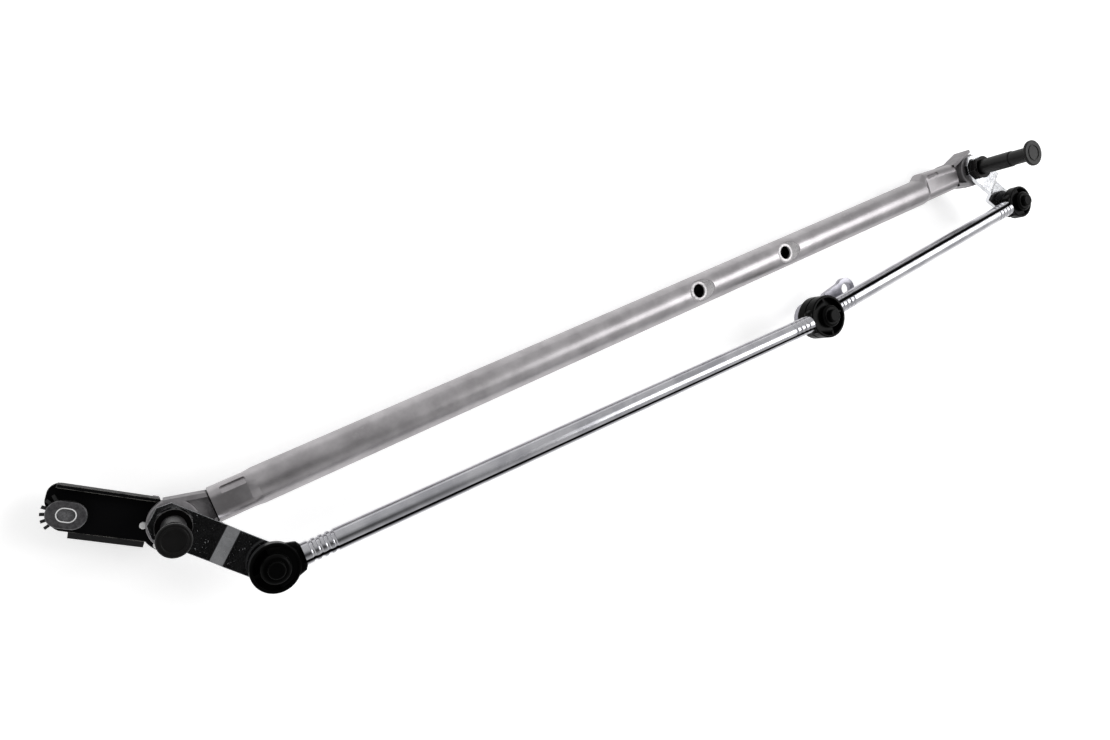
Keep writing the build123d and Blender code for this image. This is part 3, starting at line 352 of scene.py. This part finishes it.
pin = middle("crank_ball_pin")
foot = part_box("crank_arm")[0].z
broach = bmesh.new()
for radius in (BORE_CREST, BORE_BACK):
    bmesh.ops.create_circle(broach, segments=2 * BORE_TEETH, radius=radius)
inner = [vert for vert in broach.verts if vert.co.length < (BORE_CREST + BORE_BACK) / 2]
bmesh.ops.bridge_loops(broach, edges=broach.edges)
bmesh.ops.scale(broach, verts=inner[::2], vec=(BORE_ROOT / BORE_CREST, BORE_ROOT / BORE_CREST, 1))
raised = bmesh.ops.extrude_face_region(broach, geom=broach.faces)["geom"]
bmesh.ops.translate(broach, verts=[part for part in raised if isinstance(part, bmesh.types.BMVert)],
                    vec=(0, 0, CRANK_THICKNESS - 2 * BORE_SETBACK))
bmesh.ops.translate(broach, verts=broach.verts, vec=(
    pin.x + CRANK_REACH * cos(CRANK_HEADING), pin.y + CRANK_REACH * sin(CRANK_HEADING),
    foot + BORE_SETBACK))
piece("crank_bore_teeth", broach, "crank", crank_shaded_zinc)

# Spindles, ball pins and circlips: the pins are turned from steel bar and the circlips are stamped. All
# are left bright under a film of oil, and the lathe's rings are drawn coarser than they are to show.
TURNED = "B5B5B8"
TURNED_SMOOTH = 0.18
TURNED_ROUGH = 0.32
TURNED_LINE = 0.0007
TURNED_STRETCH = 0.05

turned, tree = new_finish("turned_steel")
place = add(tree, "TexCoord").outputs["Object"]
stretched = add(tree, "Mapping", {"Vector": place, "Scale": (TURNED_STRETCH, TURNED_STRETCH, 1)})
lathe = add(tree, "TexNoise", {
    "Vector": stretched.outputs["Vector"], "Scale": 1 / TURNED_LINE, "Detail": 2})
gloss = add(tree, "MapRange", {
    "Value": lathe.outputs["Fac"], "To Min": TURNED_SMOOTH, "To Max": TURNED_ROUGH})
relief = add(tree, "Bump", {"Height": lathe.outputs["Fac"], "Strength": 0.15, "Distance": 0.0001})
shader = add(tree, "BsdfPrincipled", {
    "Base Color": linear(TURNED), "Metallic": 1.0, "Roughness": gloss.outputs["Result"],
    "Normal": relief.outputs["Normal"]})
add(tree, "OutputMaterial", {"Surface": shader.outputs["BSDF"]})
dress([f"{side}_{part}" for side in ("left", "right") for part in ("spindle", "ball_pin")], turned)
dress(["crank_ball_pin", "left_circlip", "right_circlip"], turned)

# The arm end of each spindle: an M8 thread, rolled on the tip, and under it the fine teeth of the cone
# that the wiper arm is clamped on. The caps hide both until they are pulled.
THREAD_PITCH = 0.00125
THREAD_RADIUS = 0.004
THREAD_RISE = 0.00028
THREAD_FLANK = 0.0005
THREAD_TURNS = 19
THREAD_LEAD_IN = 0.0014
TURN_STEPS = 32
CONE_TEETH = 48
CONE_LOW_RADIUS = 0.00535
CONE_HIGH_RADIUS = 0.00475
CONE_HEIGHT = 0.0128
CONE_SETBACK = 0.0001
TOOTH_DEPTH = 0.93

for side in ("left", "right"):
    axis = middle(f"{side}_spindle")
    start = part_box(f"{side}_spindle")[1].z - THREAD_LEAD_IN - THREAD_TURNS * THREAD_PITCH
    thread = bmesh.new()
    flank = [thread.verts.new(point) for point in (
        (THREAD_RADIUS - THREAD_RISE, 0, start - THREAD_FLANK),
        (THREAD_RADIUS + THREAD_RISE, 0, start),
        (THREAD_RADIUS - THREAD_RISE, 0, start + THREAD_FLANK))]
    sides = [thread.edges.new((flank[place - 1], flank[place])) for place in range(3)]
    bmesh.ops.spin(thread, geom=flank + sides, cent=(0, 0, 0), axis=(0, 0, 1), angle=2 * pi * THREAD_TURNS,
                   dvec=(0, 0, THREAD_PITCH / TURN_STEPS), steps=TURN_STEPS * THREAD_TURNS, use_merge=False)
    bmesh.ops.holes_fill(thread, edges=thread.edges, sides=3)
    bmesh.ops.translate(thread, verts=thread.verts, vec=(axis.x, axis.y, 0))
    piece(f"{side}_arm_thread", thread, f"{side}_spindle_set", turned)

    teeth = bmesh.new()
    bmesh.ops.create_cone(teeth, cap_ends=True, segments=2 * CONE_TEETH, radius1=CONE_LOW_RADIUS,
                          radius2=CONE_HIGH_RADIUS, depth=CONE_HEIGHT)
    gullets = [vert for vert in teeth.verts
               if round(Vector((1, 0)).angle_signed(vert.co.xy) / pi * CONE_TEETH) % 2]
    bmesh.ops.scale(teeth, verts=gullets, vec=(TOOTH_DEPTH, TOOTH_DEPTH, 1))
    cone_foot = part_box(f"{side}_spindle_cap")[0].z + CONE_SETBACK
    bmesh.ops.translate(teeth, verts=teeth.verts, vec=(axis.x, axis.y, cone_foot + CONE_HEIGHT / 2))
    piece(f"{side}_arm_cone_teeth", teeth, f"{side}_spindle_set", turned)

# Flat washers above and below each housing: stamped from steel strip and zinc plated, with edges rounded
# by tumbling. They are less bright than the levers.
WASHER = "B8B7B4"
WASHER_SMOOTH = 0.2
WASHER_ROUGH = 0.4
WASHER_SCUFF = 0.00167
WASHER_EDGE = 0.0003

stamped, tree = new_finish("stamped_washer_steel")
place = add(tree, "TexCoord").outputs["Object"]
scuffs = add(tree, "TexNoise", {"Vector": place, "Scale": 1 / WASHER_SCUFF, "Detail": 4})
gloss = add(tree, "MapRange", {
    "Value": scuffs.outputs["Fac"], "To Min": WASHER_SMOOTH, "To Max": WASHER_ROUGH})
rounded = add(tree, "Bevel", {"Radius": WASHER_EDGE}, samples=4)
shader = add(tree, "BsdfPrincipled", {
    "Base Color": linear(WASHER), "Metallic": 1.0, "Roughness": gloss.outputs["Result"],
    "Normal": rounded.outputs["Normal"]})
add(tree, "OutputMaterial", {"Surface": shader.outputs["BSDF"]})
dress([f"{side}_{part}_washer" for side in ("left", "right") for part in ("thrust", "foot")], stamped)

# The six-sided nuts that clamp the levers, and the rings on them: steel, blackened in hot salts and oiled.
# Their edges are rubbed to a dark grey shine.
OXIDE_BLACK = "181717"
OXIDE_RUBBED = "6A6868"
OXIDE_SMOOTH = 0.24
OXIDE_ROUGH = 0.4
OIL_SPOT = 0.00333
OXIDE_EDGE = 0.0004
OXIDE_WEAR_START = 0.99
OXIDE_WEAR_FULL = 0.9

oxide, tree = new_finish("black_oxide_steel")
place = add(tree, "TexCoord").outputs["Object"]
oil = add(tree, "TexNoise", {"Vector": place, "Scale": 1 / OIL_SPOT, "Detail": 4})
rounded = add(tree, "Bevel", {"Radius": OXIDE_EDGE}, samples=6)
flat = add(tree, "NewGeometry")
meeting = add(tree, "VectorMath", {
    0: rounded.outputs["Normal"], 1: flat.outputs["Normal"]}, operation="DOT_PRODUCT")
edge = add(tree, "MapRange", {
    "Value": meeting.outputs["Value"], "From Min": OXIDE_WEAR_START, "From Max": OXIDE_WEAR_FULL})
tone = add(tree, "ValToRGB", {"Fac": edge.outputs["Result"]}, [(0.3, OXIDE_BLACK), (0.8, OXIDE_RUBBED)])
gloss = add(tree, "MapRange", {"Value": oil.outputs["Fac"], "To Min": OXIDE_SMOOTH, "To Max": OXIDE_ROUGH})
shader = add(tree, "BsdfPrincipled", {
    "Base Color": tone.outputs["Color"], "Metallic": 1.0, "Roughness": gloss.outputs["Result"],
    "Normal": rounded.outputs["Normal"]})
add(tree, "OutputMaterial", {"Surface": shader.outputs["BSDF"]})
dress([f"{side}_{part}" for side in ("left", "right") for part in ("lever_nut", "lock_washer")], oxide)

# Caps and sockets: black plastics, moulded. The caps are soft polyethylene with a spark-eroded texture,
# and the sockets are glass-filled nylon with a deep black satin skin. The grain of both is drawn coarser
# than it is to show.
CAP_BLACK = "0B0A0A"
CAP_SHINE = 0.24
CAP_SMOOTH = 0.3
CAP_ROUGH = 0.46
CAP_GRAIN = 0.0005
CAP_RELIEF = 0.2
NYLON_BLACK = "040404"
NYLON_SHINE = 0.05
NYLON_SMOOTH = 0.24
NYLON_ROUGH = 0.38
NYLON_GRAIN = 0.0009
NYLON_RELIEF = 0.08
SMEAR = 0.00625
MOULD_EDGE = 0.0005


def moulded(name, code, shine, smooth, rough, grain_size, depth):
    """A black plastic moulding with soft edges and a mould texture."""
    material, tree = new_finish(name)
    place = add(tree, "TexCoord").outputs["Object"]
    grain = add(tree, "TexNoise", {"Vector": place, "Scale": 1 / grain_size, "Detail": 3})
    smears = add(tree, "TexNoise", {"Vector": place, "Scale": 1 / SMEAR, "Detail": 3})
    gloss = add(tree, "MapRange", {"Value": smears.outputs["Fac"], "To Min": smooth, "To Max": rough})
    rounded = add(tree, "Bevel", {"Radius": MOULD_EDGE}, samples=4)
    relief = add(tree, "Bump", {
        "Height": grain.outputs["Fac"], "Strength": depth, "Distance": 0.0001,
        "Normal": rounded.outputs["Normal"]})
    shader = add(tree, "BsdfPrincipled", {
        "Base Color": linear(code), "Roughness": gloss.outputs["Result"], "Specular IOR Level": shine,
        "Normal": relief.outputs["Normal"]})
    add(tree, "OutputMaterial", {"Surface": shader.outputs["BSDF"]})
    return material


polyethylene = moulded("black_polyethylene", CAP_BLACK, CAP_SHINE, CAP_SMOOTH, CAP_ROUGH, CAP_GRAIN,
                       CAP_RELIEF)
dress(["left_spindle_cap", "right_spindle_cap"], polyethylene)
nylon = moulded("glass_filled_nylon", NYLON_BLACK, NYLON_SHINE, NYLON_SMOOTH, NYLON_ROUGH, NYLON_GRAIN,
                NYLON_RELIEF)
dress(["long_rod_left_socket", "long_rod_mid_socket"], nylon)
dress(["short_rod_mid_socket", "short_rod_right_socket"], nylon)

# Mould marks on the caps: a low seam runs down each side, over the foot and the neck, where the halves of
# the mould met and let a little plastic between them.
SEAM_RADIUS = 0.00022
SEAM_TURNS = (radians(100), radians(280))
CAP_FOOT_RADIUS = 0.0064
CAP_NECK_RADIUS = 0.0058
CAP_STEP = 0.026
CAP_FLANGE = 0.0027

for side in ("left", "right"):
    low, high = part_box(f"{side}_spindle_cap")
    axis = middle(f"{side}_spindle_cap")
    neck_height = high.z - low.z - CAP_STEP - CAP_FLANGE
    foot_height = CAP_STEP - 2 * SEAM_RADIUS
    seams = bmesh.new()
    for turn in SEAM_TURNS:
        upright_ridge(seams, CAP_FOOT_RADIUS, turn, low.z + SEAM_RADIUS, foot_height, SEAM_RADIUS)
        upright_ridge(seams, CAP_NECK_RADIUS, turn, low.z + CAP_STEP, neck_height, SEAM_RADIUS)
    bmesh.ops.translate(seams, verts=seams.verts, vec=(axis.x, axis.y, 0))
    piece(f"{side}_cap_mould_seam", seams, f"{side}_cap", polyethylene)

# The seals under the sockets and the bracket's grommet: natural rubber filled with carbon black, moulded
# and pushed into place. It is matt, with a thin grey bloom.
RUBBER = "101011"
BLOOM = "1F1F20"
RUBBER_ROUGH = 0.72
BLOOM_SPOT = 0.00455

rubber, tree = new_finish("moulded_rubber")
place = add(tree, "TexCoord").outputs["Object"]
bloom = add(tree, "TexNoise", {"Vector": place, "Scale": 1 / BLOOM_SPOT, "Detail": 5})
tone = add(tree, "ValToRGB", {"Fac": bloom.outputs["Fac"]}, [(0.42, RUBBER), (0.7, BLOOM)])
relief = add(tree, "Bump", {"Height": bloom.outputs["Fac"], "Strength": 0.2, "Distance": 0.0003})
shader = add(tree, "BsdfPrincipled", {
    "Base Color": tone.outputs["Color"], "Roughness": RUBBER_ROUGH, "Normal": relief.outputs["Normal"]})
add(tree, "OutputMaterial", {"Surface": shader.outputs["BSDF"]})
dress(["long_rod_left_seal", "short_rod_mid_seal", "short_rod_right_seal", "bracket_grommet"], rubber)

# The two rods: steel strip rolled round, with its edges turned in along a seam, zinc plated and crimped on
# the sockets' stems. Rolling leaves faint lines along them, drawn coarser than they are to show, and the
# valley of the seam is painted black, partly for oil and dust and partly as painted shade in the groove.
ROD_BRIGHT = "BFBFC3"
ROD_DULL = "AAAAAF"
ROD_GRIME_AND_SHADE = "0C0C0C"
ROD_SMOOTH = 0.18
ROD_ROUGH = 0.28
ROD_LINE = 0.0008
ROD_STRETCH = 0.015
ROD_CLOUD = 0.0143
SEAM_TURN = radians(37)
GRIME_AND_SHADE_HALF = 0.00155
GRIME_AND_SHADE_FULL = 0.001085
GRIME_ROUGH = 0.7


def rolled_strip(name, ball, pin):
    """Zinc plated strip, with its seam valley painted black, partly grime and partly painted shade, along the
    line from a rod's ball to the crank's pin.
    """
    material, tree = new_finish(name)
    place = add(tree, "TexCoord").outputs["Object"]
    heading = (pin - ball).xy.angle_signed(Vector((1, 0)))
    along = add(tree, "Mapping", {"Vector": place, "Location": ball, "Rotation": (0, 0, heading)},
                vector_type="TEXTURE").outputs["Vector"]
    stretched = add(tree, "Mapping", {"Vector": along, "Scale": (ROD_STRETCH, 1, 1)}).outputs["Vector"]
    lines = add(tree, "TexNoise", {"Vector": stretched, "Scale": 1 / ROD_LINE, "Detail": 3})
    clouds = add(tree, "TexNoise", {"Vector": along, "Scale": 1 / ROD_CLOUD, "Detail": 3})
    zinc = add(tree, "ValToRGB", {"Fac": clouds.outputs["Fac"]}, [(0.35, ROD_DULL), (0.6, ROD_BRIGHT)])
    across = add(tree, "VectorMath", {
        0: along, 1: (0, cos(SEAM_TURN), sin(SEAM_TURN))}, operation="DOT_PRODUCT")
    outward = add(tree, "VectorMath", {
        0: along, 1: (0, -sin(SEAM_TURN), cos(SEAM_TURN))}, operation="DOT_PRODUCT")
    offset = add(tree, "Math", {0: across.outputs["Value"]}, operation="ABSOLUTE")
    # Grime and painted shade: the seam's valley is darkened.
    valley = add(tree, "MapRange", {
        "Value": offset.outputs["Value"], "From Min": GRIME_AND_SHADE_HALF, "From Max": GRIME_AND_SHADE_FULL})
    upper = add(tree, "Math", {0: outward.outputs["Value"], 1: 0.0}, operation="GREATER_THAN")
    grime_and_shade = add(tree, "Math", {
        0: valley.outputs["Result"], 1: upper.outputs["Value"]}, operation="MULTIPLY").outputs["Value"]
    tone = add(tree, "Mix", {0: grime_and_shade, 6: zinc.outputs["Color"], 7: linear(ROD_GRIME_AND_SHADE)}, data_type="RGBA")
    clean = add(tree, "MapRange", {"Value": lines.outputs["Fac"], "To Min": ROD_SMOOTH, "To Max": ROD_ROUGH})
    gloss = add(tree, "MapRange", {"Value": grime_and_shade, "To Min": clean.outputs["Result"], "To Max": GRIME_ROUGH})
    relief = add(tree, "Bump", {"Height": lines.outputs["Fac"], "Strength": 0.06, "Distance": 0.0002})
    shader = add(tree, "BsdfPrincipled", {
        "Base Color": tone.outputs[2], "Metallic": 1.0, "Roughness": gloss.outputs["Result"],
        "Normal": relief.outputs["Normal"]})
    add(tree, "OutputMaterial", {"Surface": shader.outputs["BSDF"]})
    return material


for rod, side in (("long_rod", "left"), ("short_rod", "right")):
    ball = middle(f"{side}_ball_pin")
    ball.z = middle(f"{rod}_tube").z
    dress([f"{rod}_tube"], rolled_strip(f"{rod}_zinc_plated_strip", ball, pin))

# The support bracket: sheet steel, cut, folded up at its long edges and riveted to the left housing. It
# is black by cathodic dip, with a faint orange peel, and rubbed through to grey on its edges.
DIP_BLACK = "0C0C0D"
WORN_GREY = "8A8884"
DIP_SHINE = 0.025
DIP_ROUGH = 0.42
DIP_PEEL = 0.002
DIP_CHIP = 0.00385
DIP_EDGE = 0.0006
DIP_WEAR_START = 0.995
DIP_WEAR_FULL = 0.93

dipped, tree = new_finish("black_dip_coat")
place = add(tree, "TexCoord").outputs["Object"]
peel = add(tree, "TexNoise", {"Vector": place, "Scale": 1 / DIP_PEEL, "Detail": 2})
chips = add(tree, "TexNoise", {"Vector": place, "Scale": 1 / DIP_CHIP, "Detail": 5})
rounded = add(tree, "Bevel", {"Radius": DIP_EDGE}, samples=6)
flat = add(tree, "NewGeometry")
meeting = add(tree, "VectorMath", {
    0: rounded.outputs["Normal"], 1: flat.outputs["Normal"]}, operation="DOT_PRODUCT")
edge = add(tree, "MapRange", {
    "Value": meeting.outputs["Value"], "From Min": DIP_WEAR_START, "From Max": DIP_WEAR_FULL})
worn = add(tree, "Math", {0: edge.outputs["Result"], 1: chips.outputs["Fac"]}, operation="MULTIPLY")
tone = add(tree, "ValToRGB", {"Fac": worn.outputs["Value"]}, [(0.25, DIP_BLACK), (0.5, WORN_GREY)])
relief = add(tree, "Bump", {
    "Height": peel.outputs["Fac"], "Strength": 0.08, "Distance": 0.0003, "Normal": rounded.outputs["Normal"]})
shader = add(tree, "BsdfPrincipled", {
    "Base Color": tone.outputs["Color"], "Roughness": DIP_ROUGH, "Specular IOR Level": DIP_SHINE,
    "Normal": relief.outputs["Normal"]})
add(tree, "OutputMaterial", {"Surface": shader.outputs["BSDF"]})
dress(["support_bracket"], dipped)

# The bracket's rivets: soft aluminium, set through the bracket and the housing's flange. Their hammered
# domes are painted near white and made far less metallic than clean aluminium, as a painted highlight.
RIVET_HIGHLIGHT_WHITE = "F0F0F0"
RIVET_METALLIC = 0.25
RIVET_ROUGH = 0.55
HAMMER_MARK = 0.000667

# Painted highlight: near white and nearly matt, for the rivet heads and the slot's eyelet.
rivet_highlight_metal, tree = new_finish("aluminium_painted_highlight")
place = add(tree, "TexCoord").outputs["Object"]
blows = add(tree, "TexNoise", {"Vector": place, "Scale": 1 / HAMMER_MARK, "Detail": 2})
relief = add(tree, "Bump", {"Height": blows.outputs["Fac"], "Strength": 0.2, "Distance": 0.0002})
shader = add(tree, "BsdfPrincipled", {
    "Base Color": linear(RIVET_HIGHLIGHT_WHITE), "Metallic": RIVET_METALLIC, "Roughness": RIVET_ROUGH,
    "Normal": relief.outputs["Normal"]})
add(tree, "OutputMaterial", {"Surface": shader.outputs["BSDF"]})
dress(["bracket_rivets"], rivet_highlight_metal)

# The oval sleeve in the grommet: pressed steel, handled bare, so its flange is dull and spotted. An
# aluminium eyelet edges its slot, painted pale as a painted highlight, and a grey sheet a little below
# the top closes the slot, as painted shade for its inside.
SLEEVE_GREY = "767577"
SLEEVE_DARK = "565557"
SLEEVE_SMOOTH = 0.34
SLEEVE_ROUGH = 0.5
SLEEVE_SPOT = 0.00238
SLEEVE_EDGE = 0.0004
SLOT_STRETCH = 0.0011
SLOT_RADIUS = 0.0032
LIP_WIDTH = 0.0006
LIP_RISE = 0.0003
LIP_SINK = 0.00005
LIP_ROUND = 0.00024
SLOT_SHADE_GREY = "78787A"
SLOT_SHADE_DARK = "5A5A5C"
SLOT_SHADE_ROUGH = 0.7
SLOT_SHADE_SPOT = 0.00111
SLOT_SHADE_SLACK = 0.0001
SLOT_SHADE_DEPTH = 0.0034
SLOT_SHADE_THICKNESS = 0.001
BRACKET_TURN = radians(145)

sleeve, tree = new_finish("dull_pressed_steel")
place = add(tree, "TexCoord").outputs["Object"]
spots = add(tree, "TexNoise", {"Vector": place, "Scale": 1 / SLEEVE_SPOT, "Detail": 5, "Roughness": 0.7})
tone = add(tree, "ValToRGB", {"Fac": spots.outputs["Fac"]}, [(0.38, SLEEVE_DARK), (0.6, SLEEVE_GREY)])
gloss = add(tree, "MapRange", {
    "Value": spots.outputs["Fac"], "To Min": SLEEVE_ROUGH, "To Max": SLEEVE_SMOOTH})
rounded = add(tree, "Bevel", {"Radius": SLEEVE_EDGE}, samples=4)
shader = add(tree, "BsdfPrincipled", {
    "Base Color": tone.outputs["Color"], "Metallic": 1.0, "Roughness": gloss.outputs["Result"],
    "Normal": rounded.outputs["Normal"]})
add(tree, "OutputMaterial", {"Surface": shader.outputs["BSDF"]})
dress(["grommet_sleeve"], sleeve)


def slot_disc(radius):
    """Flat disc in the outline of the sleeve's slot, with a given end radius, lying at the origin."""
    disc = bmesh.new()
    bmesh.ops.create_circle(disc, cap_ends=True, segments=48, radius=radius)
    for way in (1, -1):
        half = [vert for vert in disc.verts if vert.co.x * way > 1e-5]
        bmesh.ops.translate(disc, verts=half, vec=(way * SLOT_STRETCH, 0, 0))
    return disc


def thicken(disc, rise):
    """Pulls a flat disc's faces up into a solid."""
    raised = bmesh.ops.extrude_face_region(disc, geom=disc.faces)["geom"]
    tops = [part for part in raised if isinstance(part, bmesh.types.BMVert)]
    bmesh.ops.translate(disc, verts=tops, vec=(0, 0, rise))


lip = slot_disc(SLOT_RADIUS + LIP_WIDTH)
ring = bmesh.ops.inset_region(
    lip, faces=lip.faces, thickness=LIP_WIDTH, use_boundary=True, use_even_offset=True)["faces"]
bmesh.ops.delete(lip, geom=[face for face in lip.faces if face not in ring], context="FACES_ONLY")
thicken(lip, LIP_RISE)
top_edges = [edge for edge in lip.edges if all(vert.co.z > LIP_RISE / 2 for vert in edge.verts)
             and len({round(face.normal.z) for face in edge.link_faces}) > 1]
bmesh.ops.bevel(lip, geom=top_edges, offset=LIP_ROUND, segments=3, profile=0.5, affect="EDGES",
                material=-1)
shade_sheet = slot_disc(SLOT_RADIUS - SLOT_SHADE_SLACK)
thicken(shade_sheet, SLOT_SHADE_THICKNESS)
bush = middle("grommet_sleeve")
sleeve_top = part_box("grommet_sleeve")[1].z
for shape, height in ((lip, sleeve_top - LIP_SINK), (shade_sheet, sleeve_top - SLOT_SHADE_DEPTH)):
    bmesh.ops.rotate(shape, verts=shape.verts, matrix=Matrix.Rotation(BRACKET_TURN, 3, "Z"))
    bmesh.ops.translate(shape, verts=shape.verts, vec=(bush.x, bush.y, height))
# The eyelet's pale colour is a painted highlight.
piece("sleeve_slot_lip", lip, "frame", rivet_highlight_metal)

# Painted shade: a grey sheet standing for the shaded inside of the slot.
slot_shade_finish, tree = new_finish("slot_shade_sheet")
place = add(tree, "TexCoord").outputs["Object"]
bloom = add(tree, "TexNoise", {"Vector": place, "Scale": 1 / SLOT_SHADE_SPOT, "Detail": 4})
tone = add(tree, "ValToRGB", {"Fac": bloom.outputs["Fac"]}, [(0.35, SLOT_SHADE_DARK), (0.65, SLOT_SHADE_GREY)])
shader = add(tree, "BsdfPrincipled", {"Base Color": tone.outputs["Color"], "Roughness": SLOT_SHADE_ROUGH})
add(tree, "OutputMaterial", {"Surface": shader.outputs["BSDF"]})
piece("sleeve_slot_shade_sheet", shade_sheet, "frame", slot_shade_finish)

# The floor of the studio: a white paper sheet under the object, far wider than the picture. It takes the
# soft shadow, and it is lifted to white for the eye and in the metal, without lighting the object.
FLOOR_WHITE = "FBFBFB"
FLOOR_HALF = 12.0
FLOOR_LIFT = 0.42
FLOOR_GAP = 0.0001

paper, tree = new_finish("white_studio_paper")
matt = add(tree, "BsdfDiffuse", {"Color": linear(FLOOR_WHITE)})
path = add(tree, "LightPath")
seen = add(tree, "Math", {
    0: path.outputs["Is Camera Ray"], 1: path.outputs["Is Glossy Ray"]}, operation="MAXIMUM")
lift = add(tree, "Math", {0: seen.outputs["Value"], 1: FLOOR_LIFT}, operation="MULTIPLY")
glow = add(tree, "Emission", {"Color": (1, 1, 1, 1), "Strength": lift.outputs["Value"]})
both = add(tree, "AddShader", {0: matt.outputs["BSDF"], 1: glow.outputs["Emission"]})
add(tree, "OutputMaterial", {"Surface": both.outputs["Shader"]})
sheet = bmesh.new()
bmesh.ops.create_grid(sheet, x_segments=1, y_segments=1, size=FLOOR_HALF)
bmesh.ops.translate(sheet, verts=sheet.verts, vec=(0, 0, cad_box[0].z - FLOOR_GAP))
mesh = bpy.data.meshes.new("studio_floor")
sheet.to_mesh(mesh)
sheet.free()
mesh.materials.append(paper)
floor = bpy.data.objects.new("studio_floor", mesh)
bpy.context.scene.collection.objects.link(floor)

# The room: white to the camera, and in the metal a pale room with a dark patch of ceiling overhead,
# which the left lever and the bracket mirror.
DARK_WAY = (-0.04, -0.14, 0.989)
ROOM_TONES = [(0.0, "E2E2E2"), (0.78, "D4D4D4"), (0.9, "A8A8A8"), (0.96, "7C7C7C"), (0.981, "0C0C0C")]

world = bpy.data.worlds.new("studio_room")
bpy.context.scene.world = world
world.use_nodes = True
tree = world.node_tree
tree.nodes.clear()
way = add(tree, "TexCoord").outputs["Generated"]
nearness = add(tree, "VectorMath", {0: way, 1: DARK_WAY}, operation="DOT_PRODUCT")
room = add(tree, "ValToRGB", {"Fac": nearness.outputs["Value"]}, ROOM_TONES)
eye = add(tree, "LightPath")
seen = add(tree, "Background", {"Color": (1, 1, 1, 1), "Strength": 1.0})
lit = add(tree, "Background", {"Color": room.outputs["Color"], "Strength": 1.0})
both = add(tree, "MixShader", {
    0: eye.outputs["Is Camera Ray"], 1: lit.outputs["Background"], 2: seen.outputs["Background"]})
add(tree, "OutputWorld", {"Surface": both.outputs["Shader"]})

# One large softbox beyond the right end, a metre wide and turned to the object's middle. It draws the
# bright line along the tube and the rods.
SOFTBOX_PLACE = (1.28, -0.11, 1.53)
SOFTBOX_WIDTH = 1.0
SOFTBOX_HEIGHT = 1.26
SOFTBOX_WATTS = 16.0

light = bpy.data.lights.new("softbox", "AREA")
light.shape = "RECTANGLE"
light.size = SOFTBOX_WIDTH
light.size_y = SOFTBOX_HEIGHT
light.energy = SOFTBOX_WATTS
softbox = bpy.data.objects.new("softbox", light)
softbox.location = SOFTBOX_PLACE
softbox.rotation_euler = (-Vector(SOFTBOX_PLACE)).to_track_quat("-Z", "Y").to_euler()
bpy.context.scene.collection.objects.link(softbox)

# The camera, half a metre above the left spindle and looking along the tube. Its place, turn and focal
# length were fitted to the photograph's tube, rods, caps and levers.
PHOTO_WIDTH = 1110
FOCAL_PIXELS = 819.1
SENSOR = 36.0
CAMERA_PLACE = (-0.38835, 0.06421, 0.49164)
CAMERA_TURN = (1.8272, -25.2428, -22.9416)
CLIP_START = 0.01
CLIP_END = 100

camera_data = bpy.data.cameras.new("photo_camera")
camera_data.sensor_fit = "HORIZONTAL"
camera_data.sensor_width = SENSOR
camera_data.lens = FOCAL_PIXELS / PHOTO_WIDTH * SENSOR
camera_data.clip_start = CLIP_START
camera_data.clip_end = CLIP_END
camera = bpy.data.objects.new("photo_camera", camera_data)
camera.location = CAMERA_PLACE
camera.rotation_euler = [radians(angle) for angle in CAMERA_TURN]
bpy.context.scene.collection.objects.link(camera)
bpy.context.scene.camera = camera
bpy.context.scene.view_settings.view_transform = "Standard"
